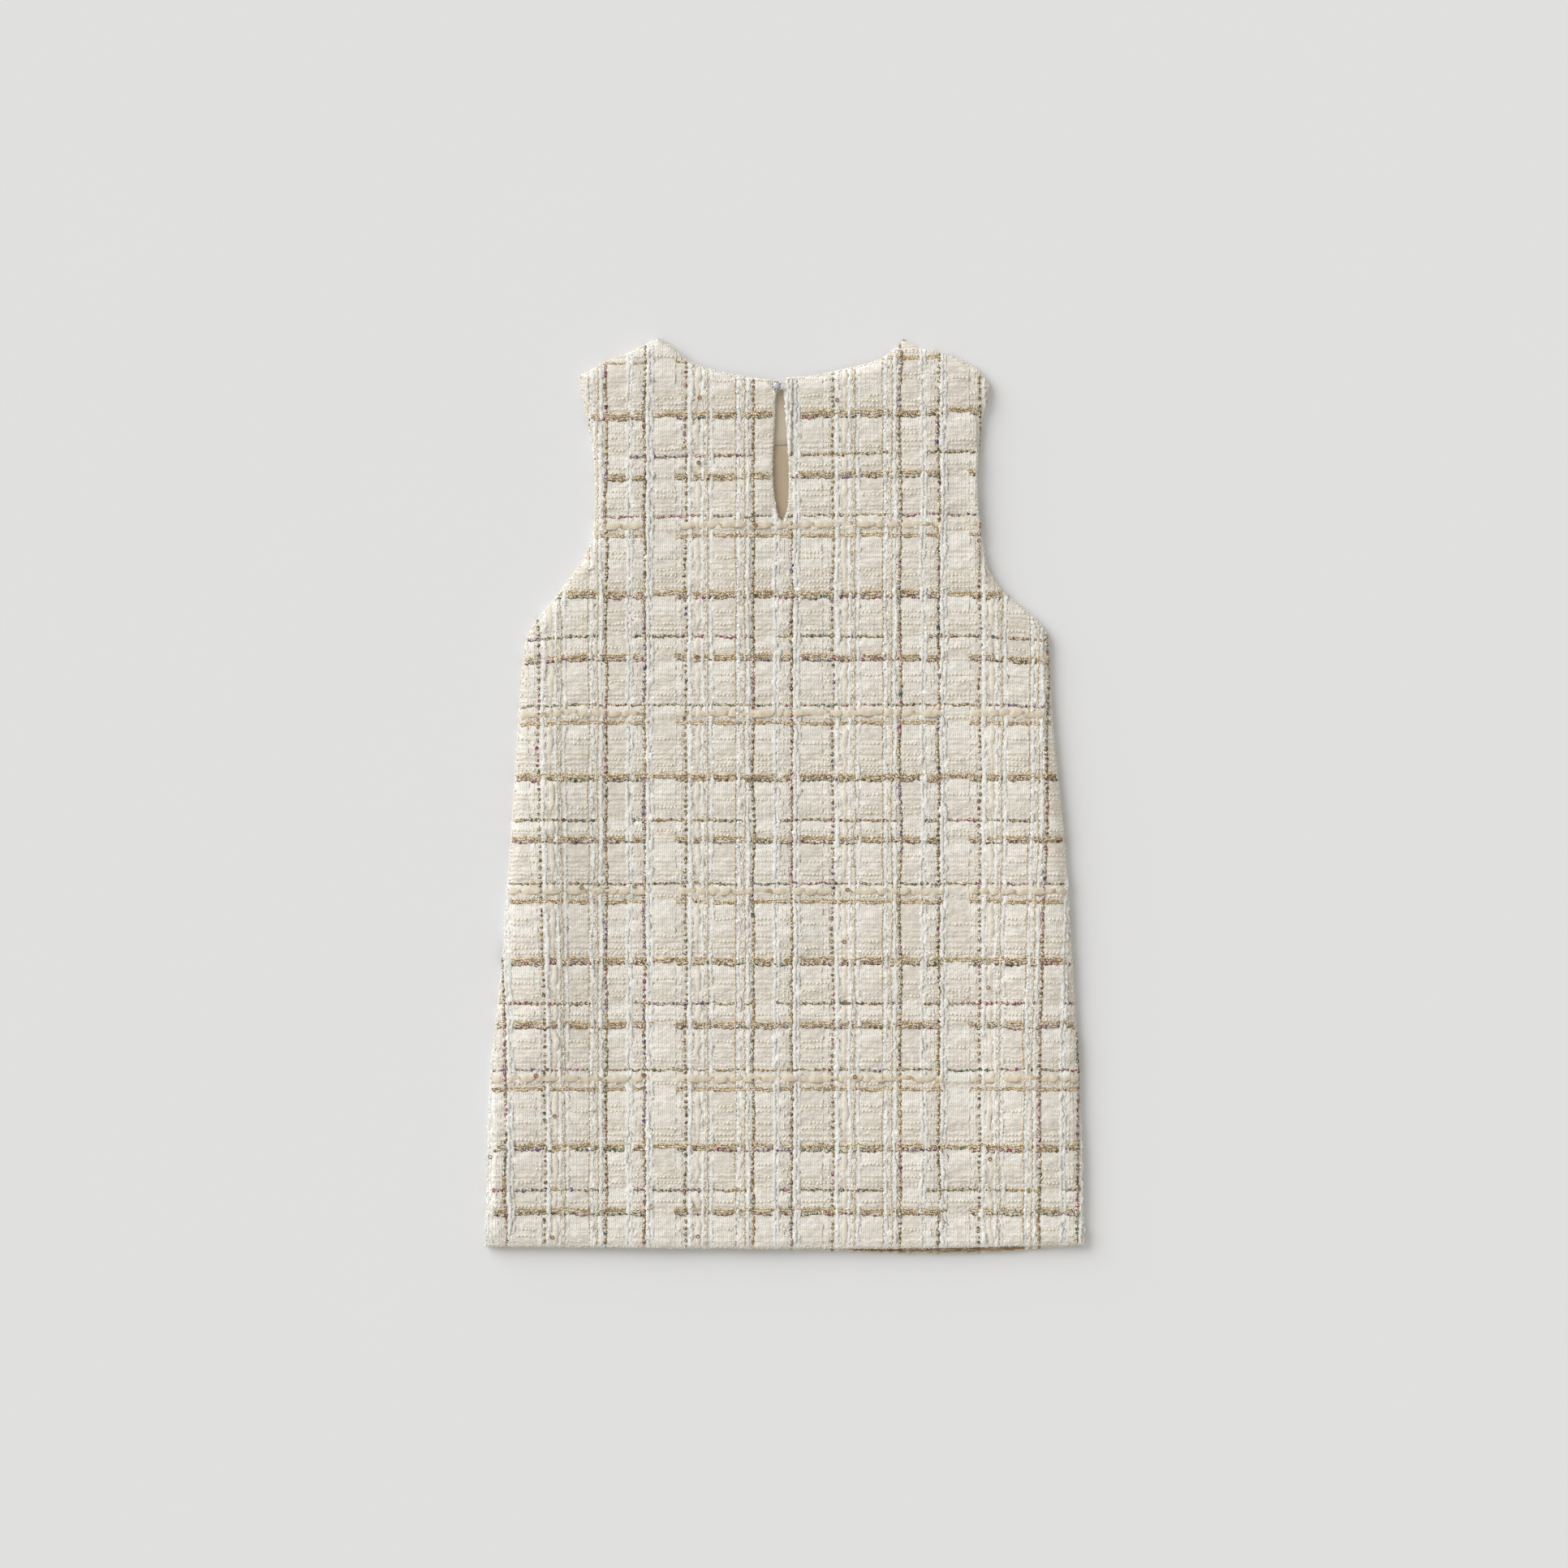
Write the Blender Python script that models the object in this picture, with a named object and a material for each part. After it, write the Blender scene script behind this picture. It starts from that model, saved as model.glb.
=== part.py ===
"""A child's sleeveless A-line dress in fancy tweed, laid flat with its back side up.

The dress lies on the plane z = 0 with its neck towards +Y. From below, the layers are the front
panel, the front's facing and lining, and the back panel, which carries the keyhole slit, the
button and its loop. All sizes below are in millimetres; the scene is in metres.
"""

import math
from typing import NamedTuple

import bmesh
import bpy
import numpy as np
from mathutils import Vector
from mathutils.geometry import delaunay_2d_cdt

MM = 0.001

# The cloth and how the layers lie on each other.
TWEED_WALL = 2.2
LINING_WALL = 1.0
SEAM_GAP = 0.3
SOFT_EDGE = 0.7
LINING_EDGE = 0.2
FRONT_FLOOR = 0.0
SEAM_FLOOR = FRONT_FLOOR + TWEED_WALL + SEAM_GAP
LINING_FLOOR = SEAM_FLOOR
BACK_FLOOR = LINING_FLOOR + LINING_WALL + SEAM_GAP

# Within EDGE_ROLL of its outer edges the back comes down from the lining to the front panel.
# The folds of the back fade out within SEAM_HOLD of the side seams.
EDGE_ROLL = 6.0
SEAM_HOLD = 15.0
FOLD_FADE = 48.0
LINING_INSET = 13.0
FACING_NECK_INSET = 0.8

# Spacing of the mesh along the edges and across the panels.
EDGE_STEP = 6.0
SLIT_STEP = 4.0
LINING_STEP = 14.0
BACK_GRID = 13.0
FRONT_GRID = 34.0
ROW_DISTANCES = (3.5, 8.5)
ROW_SKIP = 2
ROW_TOLERANCE = 0.9
ROW_CLEARANCE = 0.6
SHARPEST_MITRE = 0.5
SMOOTH_BELOW = math.radians(40)

# The facing ends at its seam to the lining, and the lining ends above the hem.
FACING_SEAM_LEVEL = 215.8
LINING_HEM_LEVEL = -262.0


class EdgeRow(NamedTuple):
    """How far left and right the edges of the dress lie, at one level above its middle."""

    level: float
    left: float
    right: float


class Place(NamedTuple):
    """A point of an edge: across from the middle line, and along, above the middle."""

    across: float
    along: float


class Fold(NamedTuple):
    """A soft ridge that runs down the back panel, with a round crest and two fading sides."""

    crest_above: float
    crest_below: float
    upper: float
    lower: float
    left_reach: float
    right_reach: float
    height: float


ARMHOLE_ROWS = (
    EdgeRow(level=240.5, left=-123.5, right=123.75),
    EdgeRow(level=228.0, left=-121.2, right=120.7),
    EdgeRow(level=214.0, left=-118.5, right=119.5),
    EdgeRow(level=196.0, left=-117.0, right=118.5),
    EdgeRow(level=175.0, left=-117.0, right=119.5),
    EdgeRow(level=154.0, left=-120.2, right=122.0),
    EdgeRow(level=140.5, left=-127.7, right=125.2),
    EdgeRow(level=128.0, left=-137.0, right=132.5),
    EdgeRow(level=117.0, left=-145.5, right=144.7),
    EdgeRow(level=106.5, left=-154.2, right=157.0),
)
UNDERARM = EdgeRow(level=98.0, left=-159.0, right=162.5)
SIDE_ROWS = (
    EdgeRow(level=85.5, left=-161.0, right=162.8),
    EdgeRow(level=38.7, left=-164.5, right=165.5),
    EdgeRow(level=-13.7, left=-168.0, right=171.0),
    EdgeRow(level=-65.7, left=-171.5, right=175.0),
    EdgeRow(level=-98.0, left=-173.7, right=177.0),
    EdgeRow(level=-135.0, left=-177.5, right=179.0),
    EdgeRow(level=-169.0, left=-181.0, right=181.0),
    EdgeRow(level=-218.7, left=-183.0, right=182.8),
    EdgeRow(level=-247.7, left=-184.0, right=183.8),
)

LEFT_HEM = Place(-184.5, -277.3)
RIGHT_HEM = Place(184.5, -276.3)
LEFT_TIP = Place(-127.0, 258.0)
RIGHT_TIP = Place(126.5, 252.0)
LEFT_NECK = Place(-77.5, 281.7)
RIGHT_NECK = Place(67.0, 275.0)
FRONT_RIGHT_NECK = Place(73.0, 281.2)
SLIT_LEFT = Place(-7.5, 255.6)
SLIT_RIGHT = Place(0.8, 257.0)

BACK_HEM = (LEFT_HEM, Place(-90.0, -278.2), Place(0.0, -278.7), Place(90.0, -278.3), RIGHT_HEM)
FRONT_HEM = (
    LEFT_HEM,
    Place(-90.0, -278.4),
    Place(0.0, -279.3),
    Place(42.0, -280.6),
    Place(95.0, -281.7),
    Place(140.0, -280.2),
    RIGHT_HEM,
)
LEFT_SHOULDER = (
    LEFT_NECK,
    Place(-85.5, 278.2),
    Place(-95.0, 273.3),
    Place(-108.0, 268.2),
    Place(-118.0, 263.2),
    LEFT_TIP,
)
RIGHT_SHOULDER = (
    RIGHT_TIP,
    Place(122.5, 259.0),
    Place(111.0, 267.2),
    Place(97.0, 272.6),
    Place(82.0, 275.6),
    RIGHT_NECK,
)
FRONT_RIGHT_SHOULDER = (
    RIGHT_TIP,
    Place(122.5, 258.8),
    Place(111.0, 267.0),
    Place(97.0, 272.4),
    Place(84.0, 276.0),
    FRONT_RIGHT_NECK,
)
BACK_NECK_RIGHT = (
    RIGHT_NECK,
    Place(62.5, 271.3),
    Place(54.0, 267.3),
    Place(39.0, 263.4),
    Place(19.0, 259.2),
    SLIT_RIGHT,
)
BACK_NECK_LEFT = (
    SLIT_LEFT,
    Place(-18.5, 257.3),
    Place(-31.0, 259.5),
    Place(-42.5, 261.8),
    Place(-52.0, 264.8),
    Place(-60.5, 269.0),
    Place(-68.0, 275.2),
    LEFT_NECK,
)
FRONT_NECK = (
    FRONT_RIGHT_NECK,
    Place(64.0, 269.5),
    Place(54.0, 262.5),
    Place(38.0, 256.8),
    Place(19.0, 252.8),
    Place(-3.0, 251.3),
    Place(-25.0, 253.0),
    Place(-42.0, 257.0),
    Place(-55.0, 263.0),
    Place(-66.0, 271.6),
    LEFT_NECK,
)
SLIT = (
    SLIT_RIGHT,
    Place(-0.8, 249.0),
    Place(0.6, 238.0),
    Place(1.5, 219.0),
    Place(2.5, 204.0),
    Place(2.5, 190.0),
    Place(1.4, 176.0),
    Place(-1.9, 168.2),
    Place(-5.1, 176.0),
    Place(-7.0, 190.0),
    Place(-7.5, 204.0),
    Place(-6.8, 219.0),
    Place(-6.0, 238.0),
    Place(-5.6, 246.0),
    Place(-3.6, 251.0),
    Place(-4.2, 254.4),
    SLIT_LEFT,
)

FOLDS = (
    Fold(-148.0, -170.0, 84.0, -268.0, left_reach=12.0, right_reach=36.0, height=2.2),
    Fold(139.0, 147.0, 76.0, -258.0, left_reach=34.0, right_reach=24.0, height=2.4),
    Fold(-80.0, -78.0, 62.0, -330.0, left_reach=20.0, right_reach=24.0, height=0.9),
    Fold(52.0, 60.0, 24.0, -330.0, left_reach=26.0, right_reach=26.0, height=0.7),
    Fold(-18.0, -14.0, -140.0, -340.0, left_reach=22.0, right_reach=26.0, height=0.8),
    Fold(100.0, 106.0, -180.0, -340.0, left_reach=20.0, right_reach=22.0, height=0.9),
    Fold(-34.0, -40.0, 206.0, 96.0, left_reach=18.0, right_reach=16.0, height=1.2),
    Fold(-88.0, -92.0, 244.0, 104.0, left_reach=18.0, right_reach=20.0, height=0.8),
    Fold(86.0, 92.0, 240.0, 110.0, left_reach=22.0, right_reach=18.0, height=0.9),
)

# The button's foot stands on the left corner of the slit; rings run from the foot to the stone.
BUTTON_AT = Place(-5.25, 251.9)
BUTTON_SIDES = 16
BUTTON_RINGS = (
    (1.1, 0.0),
    (1.1, 1.1),
    (2.6, 1.3),
    (3.1, 1.8),
    (3.0, 2.3),
    (2.4, 2.5),
    (2.0, 3.2),
    (1.1, 3.7),
)
LOOP_CORD = 0.8
LOOP_RADIUS = 1.9
LOOP_REACH = 6.2
LOOP_TURNS = 9


def clear_scene():
    for obj in list(bpy.data.objects):
        bpy.data.objects.remove(obj, do_unlink=True)


def make_material(name, colour, roughness, metallic=0.0):
    material = bpy.data.materials.new(name)
    material.use_nodes = True
    shader = material.node_tree.nodes["Principled BSDF"]
    shader.inputs["Base Color"].default_value = (*colour, 1.0)
    shader.inputs["Roughness"].default_value = roughness
    shader.inputs["Metallic"].default_value = metallic
    return material


def ease(value):
    """0 below 0, 1 above 1, and a soft step between them."""
    held = np.clip(value, 0.0, 1.0)
    return held * held * (3.0 - 2.0 * held)


def smooth_run(places, step):
    """Points about a step apart on a smooth curve through the places, with both ends kept."""
    knots = np.array(places, float)
    chords = np.linalg.norm(np.diff(knots, axis=0), axis=1)
    at = np.concatenate([[0.0], np.cumsum(chords)])
    slopes = np.gradient(knots, at, axis=0)
    curve = [knots[:1]]
    for i, chord in enumerate(chords):
        t = np.linspace(0.0, 1.0, max(2, math.ceil(chord)) + 1)[1:, None]
        start = (2 * t**3 - 3 * t**2 + 1) * knots[i] + (t**3 - 2 * t**2 + t) * chord * slopes[i]
        end = (3 * t**2 - 2 * t**3) * knots[i + 1] + (t**3 - t**2) * chord * slopes[i + 1]
        curve.append(start + end)
    curve = np.concatenate(curve)
    length = np.concatenate([[0.0], np.cumsum(np.linalg.norm(np.diff(curve, axis=0), axis=1))])
    wanted = np.linspace(0.0, length[-1], max(1, round(length[-1] / step)) + 1)
    return np.stack([np.interp(wanted, length, curve[:, i]) for i in (0, 1)], axis=1)


def edge_places(rows, side):
    return [Place(getattr(row, side), row.level) for row in rows]


def right_armhole():
    return [*edge_places((UNDERARM, *reversed(ARMHOLE_ROWS)), "right"), RIGHT_TIP]


def left_armhole():
    return [LEFT_TIP, *edge_places((*ARMHOLE_ROWS, UNDERARM), "left")]


def right_side():
    return [RIGHT_HEM, *edge_places((*reversed(SIDE_ROWS), UNDERARM), "right")]


def left_side():
    return [*edge_places((UNDERARM, *SIDE_ROWS), "left"), LEFT_HEM]


def closed_outline(runs):
    """One outline from runs that each start where the one before ends."""
    return np.concatenate([run[:-1] for run in runs])


def back_runs():
    """The back panel's edges, counter-clockwise from the hem, each under its own name."""
    return {
        "hem": smooth_run(BACK_HEM, EDGE_STEP),
        "right_side": smooth_run(right_side(), EDGE_STEP),
        "right_armhole": smooth_run(right_armhole(), EDGE_STEP),
        "right_shoulder": smooth_run(RIGHT_SHOULDER, EDGE_STEP),
        "right_neck": smooth_run(BACK_NECK_RIGHT, EDGE_STEP),
        "slit": smooth_run(SLIT, SLIT_STEP),
        "left_neck": smooth_run(BACK_NECK_LEFT, EDGE_STEP),
        "left_shoulder": smooth_run(LEFT_SHOULDER, EDGE_STEP),
        "left_armhole": smooth_run(left_armhole(), EDGE_STEP),
        "left_side": smooth_run(left_side(), EDGE_STEP),
    }


def front_outline():
    """The front panel's outline: the back's sides and armholes, with its own neck and hem."""
    runs = back_runs()
    return closed_outline(
        [
            smooth_run(FRONT_HEM, EDGE_STEP),
            runs["right_side"],
            runs["right_armhole"],
            smooth_run(FRONT_RIGHT_SHOULDER, EDGE_STEP),
            smooth_run(FRONT_NECK, EDGE_STEP),
            runs["left_shoulder"],
            runs["left_armhole"],
            runs["left_side"],
        ]
    )


def distance_to(points, line, closed=False):
    """Each point's distance to a line of points."""
    ends = np.roll(line, -1, axis=0) if closed else line[1:]
    starts = line if closed else line[:-1]
    along = ends - starts
    offset = points[:, None] - starts[None]
    share = (offset * along).sum(axis=2) / np.maximum((along**2).sum(axis=1), 1e-9)
    nearest = offset - np.clip(share, 0.0, 1.0)[..., None] * along
    return np.linalg.norm(nearest, axis=2).min(axis=1)


def inside(points, outline):
    """Which points lie inside the outline, by how often a ray to the right crosses it."""
    ends = np.roll(outline, -1, axis=0)
    x, y = points[:, :1], points[:, 1:]
    spans = (outline[:, 1] > y) != (ends[:, 1] > y)
    rise = np.where(ends[:, 1] == outline[:, 1], 1.0, ends[:, 1] - outline[:, 1])
    crossing = outline[:, 0] + (y - outline[:, 1]) / rise * (ends[:, 0] - outline[:, 0])
    return (spans & (x < crossing)).sum(axis=1) % 2 == 1


def moved_in(outline, distance):
    """The outline with each corner moved inwards, mitred so that the edges move by the distance."""
    before = outline - np.roll(outline, 1, axis=0)
    after = np.roll(outline, -1, axis=0) - outline
    before /= np.linalg.norm(before, axis=1, keepdims=True)
    after /= np.linalg.norm(after, axis=1, keepdims=True)
    inward = np.stack([-(before + after)[:, 1], (before + after)[:, 0]], axis=1)
    inward /= np.linalg.norm(inward, axis=1, keepdims=True)
    straight_in = np.stack([-after[:, 1], after[:, 0]], axis=1)
    half_turn = np.maximum((inward * straight_in).sum(axis=1), SHARPEST_MITRE)
    return outline + inward * (distance / half_turn)[:, None]


def inner_points(outline, grid, rows):
    """Points inside the outline: rows that follow the edges, then a square grid further in."""
    kept = np.empty((0, 2))
    for distance in rows:
        row = moved_in(outline, distance)[::ROW_SKIP]
        row = row[inside(row, outline)]
        row = row[distance_to(row, outline, closed=True) > ROW_TOLERANCE * distance]
        kept = spread(kept, row, ROW_CLEARANCE * EDGE_STEP)
    low = outline.min(axis=0)
    counts = np.floor((outline.max(axis=0) - low) / grid).astype(int)
    start = low + (outline.max(axis=0) - low - counts * grid) / 2
    nodes = np.indices(counts + 1).reshape(2, -1).T * grid + start
    nodes = nodes[inside(nodes, outline)]
    edge_room = max(rows, default=0.0) + ROW_CLEARANCE * grid
    return np.concatenate([kept, nodes[distance_to(nodes, outline, closed=True) > edge_room]])


def spread(kept, wanted, apart):
    """The kept points and those wanted ones that lie at least this far from all taken so far."""
    taken = list(kept)
    for point in wanted:
        if not taken or np.linalg.norm(np.array(taken) - point, axis=1).min() >= apart:
            taken.append(point)
    return np.array(taken).reshape(-1, 2)


def triangulate(outline, inner):
    """Counter-clockwise triangles inside the outline, which use all of its points and the inner ones."""
    points = [Vector(p) for p in np.concatenate([outline, inner])]
    found, _, faces, origins, _, _ = delaunay_2d_cdt(points, [], [range(len(outline))], 1, 1e-6)
    if len(found) != len(points):
        raise ValueError("the triangulation added or merged points")
    names = [origin[0] for origin in origins]
    return [[names[i] for i in face] for face in faces]


def cloth_solid(name, outline, inner, floor_of, wall, material, edge=SOFT_EDGE):
    """A closed cloth wall over an outline, whose floor follows floor_of and whose rim is rounded."""
    inset = moved_in(outline, edge)
    flat = np.concatenate([inset, inner])
    floor = floor_of(flat)
    middle = floor_of(outline) + wall / 2
    layers = (
        np.column_stack([flat, floor]),
        np.column_stack([flat, floor + wall]),
        np.column_stack([outline, middle]),
    )
    mesh = bmesh.new()
    bottom, top, rim = ([mesh.verts.new(Vector(p) * MM) for p in layer] for layer in layers)
    for face in triangulate(inset, inner):
        mesh.faces.new([top[i] for i in face])
        mesh.faces.new([bottom[i] for i in reversed(face)])
    for i in range(len(outline)):
        j = (i + 1) % len(outline)
        mesh.faces.new((bottom[i], bottom[j], rim[j], rim[i]))
        mesh.faces.new((rim[i], rim[j], top[j], top[i]))
    return mesh_object(name, mesh, material)


def mesh_object(name, mesh, material):
    mesh.normal_update()
    data = bpy.data.meshes.new(name)
    mesh.to_mesh(data)
    mesh.free()
    data.shade_smooth()
    data.set_sharp_from_angle(angle=SMOOTH_BELOW)
    data.materials.append(material)
    obj = bpy.data.objects.new(name, data)
    bpy.context.scene.collection.objects.link(obj)
    return obj


def fold_height(points):
    """How far the folds lift the back panel, before they fade at the side seams."""
    across, along = points.T
    height = np.zeros(len(points))
    for fold in FOLDS:
        share = np.clip((fold.upper - along) / (fold.upper - fold.lower), 0.0, 1.0)
        crest = fold.crest_above + share * (fold.crest_below - fold.crest_above)
        reach = np.where(across < crest, fold.left_reach, fold.right_reach)
        ends = ease((fold.upper - along) / FOLD_FADE) * ease((along - fold.lower) / FOLD_FADE)
        height += fold.height * ends * np.exp(-(((across - crest) / reach) ** 2))
    return height


def back_floor(runs):
    """The height of the back panel's underside, as a function of points on the plane."""
    sides = [runs["left_side"], runs["right_side"]]
    outer = [*sides, runs["hem"], runs["left_armhole"], runs["right_armhole"]]
    outer += [runs["left_shoulder"], runs["right_shoulder"]]

    def floor_of(points):
        edge = np.min([distance_to(points, line) for line in outer], axis=0)
        seam = np.min([distance_to(points, line) for line in sides], axis=0)
        lift = (BACK_FLOOR - SEAM_FLOOR) * ease(edge / EDGE_ROLL)
        return SEAM_FLOOR + lift + fold_height(points) * ease(seam / SEAM_HOLD)

    return floor_of


def level_floor(height):
    return lambda points: np.full(len(points), height)


def facing_outline():
    """The facing: from its level seam up to the front's neck, inside the armholes and shoulders."""
    down = np.array([0.0, -LINING_INSET])
    neck = smooth_run(FRONT_NECK, EDGE_STEP) + (0.0, -FACING_NECK_INSET)
    right_shoulder = np.array(FRONT_RIGHT_SHOULDER[1:-1]) + down
    left_shoulder = np.array(LEFT_SHOULDER[1:-1]) + down
    neck = neck[neck[:, 1] < min(right_shoulder[-1, 1], left_shoulder[0, 1])]
    rows = [row for row in ARMHOLE_ROWS if row.level > FACING_SEAM_LEVEL]
    at_seam = armhole_row(FACING_SEAM_LEVEL)
    right = np.array(edge_places((at_seam, *reversed(rows)), "right")) + (-LINING_INSET, 0.0)
    left = np.array(edge_places((*rows, at_seam), "left")) + (LINING_INSET, 0.0)
    right_shoulder = right_shoulder[right_shoulder[:, 0] < right[-1, 0]]
    left_shoulder = left_shoulder[left_shoulder[:, 0] > left[0, 0]]
    return np.concatenate([right, right_shoulder, neck, left_shoulder, left])


def armhole_row(level):
    """The armhole edges' row at a level between two of the table's rows."""
    rows = sorted((*ARMHOLE_ROWS, UNDERARM))
    levels = [row.level for row in rows]
    return EdgeRow(
        level,
        float(np.interp(level, levels, [row.left for row in rows])),
        float(np.interp(level, levels, [row.right for row in rows])),
    )


def lining_outline():
    """The lining: from its own hem up to its seam, inside the side seams and the armholes."""
    table = sorted((*ARMHOLE_ROWS, UNDERARM, *SIDE_ROWS))
    top = armhole_row(FACING_SEAM_LEVEL - SEAM_GAP)
    low = EdgeRow(LINING_HEM_LEVEL, table[0].left, table[0].right)
    rows = [low, *(row for row in table if row.level < top.level), top]
    right = smooth_run(edge_places(rows, "right"), LINING_STEP) + (-LINING_INSET, 0.0)
    left = smooth_run(edge_places(rows[::-1], "left"), LINING_STEP) + (LINING_INSET, 0.0)
    return np.concatenate([right, left])


def make_button(material, floor):
    """A turned button: a foot, a cup and a stone cut to a flat table."""
    mesh = bmesh.new()
    centre = Vector((BUTTON_AT.across, BUTTON_AT.along, floor))
    turns = [2 * math.pi * i / BUTTON_SIDES for i in range(BUTTON_SIDES)]
    rings = []
    for radius, height in BUTTON_RINGS:
        corners = [Vector((math.cos(turn) * radius, math.sin(turn) * radius, height)) for turn in turns]
        rings.append([mesh.verts.new((centre + corner) * MM) for corner in corners])
    for below, above in zip(rings, rings[1:]):
        for i in range(BUTTON_SIDES):
            j = (i + 1) % BUTTON_SIDES
            mesh.faces.new((below[i], below[j], above[j], above[i]))
    mesh.faces.new(rings[0][::-1])
    mesh.faces.new(rings[-1])
    return mesh_object("button", mesh, material)


def make_loop(material, floor):
    """A cord that runs from the slit's right corner round the button's foot and back."""
    turns = np.linspace(math.pi / 2, 3 * math.pi / 2, LOOP_TURNS)
    route = [(LOOP_REACH, LOOP_RADIUS), (LOOP_REACH / 2, LOOP_RADIUS)]
    route += [(math.cos(turn) * LOOP_RADIUS, math.sin(turn) * LOOP_RADIUS) for turn in turns]
    route += [(LOOP_REACH / 2, -LOOP_RADIUS), (LOOP_REACH, -LOOP_RADIUS)]
    curve = bpy.data.curves.new("button_loop", "CURVE")
    curve.dimensions = "3D"
    curve.bevel_depth = LOOP_CORD / 2 * MM
    curve.bevel_resolution = 2
    curve.use_fill_caps = True
    spline = curve.splines.new("POLY")
    spline.points.add(len(route) - 1)
    for point, (across, along) in zip(spline.points, route):
        place = Vector((BUTTON_AT.across + across, BUTTON_AT.along + along, floor + LOOP_CORD / 2))
        point.co = (*(place * MM), 1.0)
    curve.materials.append(material)
    obj = bpy.data.objects.new("button_loop", curve)
    bpy.context.scene.collection.objects.link(obj)
    return obj


def build():
    clear_scene()
    tweed = make_material("cream_tweed", (0.70, 0.66, 0.57), 0.9)
    facing_cloth = make_material("facing_cloth", (0.50, 0.44, 0.36), 0.7)
    lining_cloth = make_material("lining_cloth", (0.44, 0.36, 0.26), 0.5)
    clear_stone = make_material("clear_stone", (0.80, 0.81, 0.84), 0.08)
    cord = make_material("cream_cord", (0.78, 0.74, 0.66), 0.8)

    runs = back_runs()
    back = closed_outline(runs.values())
    front = front_outline()
    facing = facing_outline()
    lining = lining_outline()
    front_floor = level_floor(FRONT_FLOOR)
    lining_floor = level_floor(LINING_FLOOR)
    slit_top = BACK_FLOOR + TWEED_WALL + SEAM_GAP

    back_inner = inner_points(back, BACK_GRID, ROW_DISTANCES)
    cloth_solid("back_panel", back, back_inner, back_floor(runs), TWEED_WALL, tweed)
    front_inner = inner_points(front, FRONT_GRID, ())
    cloth_solid("front_panel", front, front_inner, front_floor, TWEED_WALL, tweed)
    facing_inner = inner_points(facing, FRONT_GRID, ())
    cloth_solid("front_facing", facing, facing_inner, lining_floor, LINING_WALL, facing_cloth, LINING_EDGE)
    lining_inner = inner_points(lining, FRONT_GRID, ())
    cloth_solid("front_lining", lining, lining_inner, lining_floor, LINING_WALL, lining_cloth, LINING_EDGE)
    make_button(clear_stone, slit_top)
    make_loop(cord, slit_top)


build()
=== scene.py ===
"""Looks of a child's a-line dress in cream fancy tweed check, laid flat with its back side up.

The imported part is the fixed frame, in metres. Each cloth is a thin shell on the form of its solid, and the
check lies on it as strands of real yarn: glitter, fluffy white, gold and cream. Lengths here are in
millimetres until a mesh is made.
"""

import logging
import math
from collections.abc import Iterator, Sequence
from dataclasses import dataclass, field
from enum import Enum
from typing import NamedTuple

import bpy
import numpy as np
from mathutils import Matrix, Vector
from mathutils.bvhtree import BVHTree
from mathutils.geometry import delaunay_2d_cdt
from mathutils.kdtree import KDTree

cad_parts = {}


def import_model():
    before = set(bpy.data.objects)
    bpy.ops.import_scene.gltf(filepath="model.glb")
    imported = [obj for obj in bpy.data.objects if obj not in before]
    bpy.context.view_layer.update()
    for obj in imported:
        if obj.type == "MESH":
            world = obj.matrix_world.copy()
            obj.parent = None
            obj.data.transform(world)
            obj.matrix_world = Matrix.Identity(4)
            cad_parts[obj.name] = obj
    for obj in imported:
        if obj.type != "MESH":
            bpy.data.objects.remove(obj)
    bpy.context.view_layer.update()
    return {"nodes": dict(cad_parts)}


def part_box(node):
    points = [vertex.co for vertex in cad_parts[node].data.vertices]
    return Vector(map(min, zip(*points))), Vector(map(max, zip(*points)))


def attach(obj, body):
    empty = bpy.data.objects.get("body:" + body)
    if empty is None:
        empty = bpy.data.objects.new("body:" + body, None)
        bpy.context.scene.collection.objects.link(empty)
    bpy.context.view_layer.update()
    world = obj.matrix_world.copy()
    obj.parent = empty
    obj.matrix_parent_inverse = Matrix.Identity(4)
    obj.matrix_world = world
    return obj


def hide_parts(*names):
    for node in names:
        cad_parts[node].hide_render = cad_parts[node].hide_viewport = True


MM = 0.001
TURN = 2 * math.pi
BAKE_MAP = "OFBake"
DYE = "dye"
WEAVE = "weave"
log = logging.getLogger("dress")
Array = np.ndarray
Colour = tuple[float, float, float]
Object = bpy.types.Object
Material = bpy.types.Material
Socket = bpy.types.NodeSocket
FLIPPED = (0, 3, 2, 1)
CHANCE_FACTORS = (12.9898, 78.233, 37.719, 9.151)
CHANCE_SPREAD = 43758.5453


def linear(colour: Sequence[float]) -> Array:
    """Turns a screen colour into a light one.

    Args:
        colour: red, green and blue from 0 to 255.

    Returns:
        The same colour as linear numbers from 0 to 1.
    """
    share = np.asarray(colour, float) / 255
    return np.where(share <= 0.04045, share / 12.92, ((share + 0.055) / 1.055) ** 2.4)


def ease(value: Array) -> Array:
    """Clamps a value to 0..1 and softens both ends."""
    held = np.clip(value, 0, 1)
    return held * held * (3 - 2 * held)


def uneven(rng: np.random.Generator, along: Array, span: float, depth: float) -> Array:
    """Makes a soft, irregular line for yarn that wanders or swells.

    Args:
        rng: the piece's own source of chance.
        along: places along the line.
        span: about how far apart its swells lie.
        depth: about how far it strays.

    Returns:
        The line's value at each place.
    """
    total = np.zeros(np.shape(along))
    for _ in range(4):
        total += np.sin(along * TURN / (span * rng.uniform(0.6, 1.8)) + rng.uniform(0, TURN))
    return depth * total / 2


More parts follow.
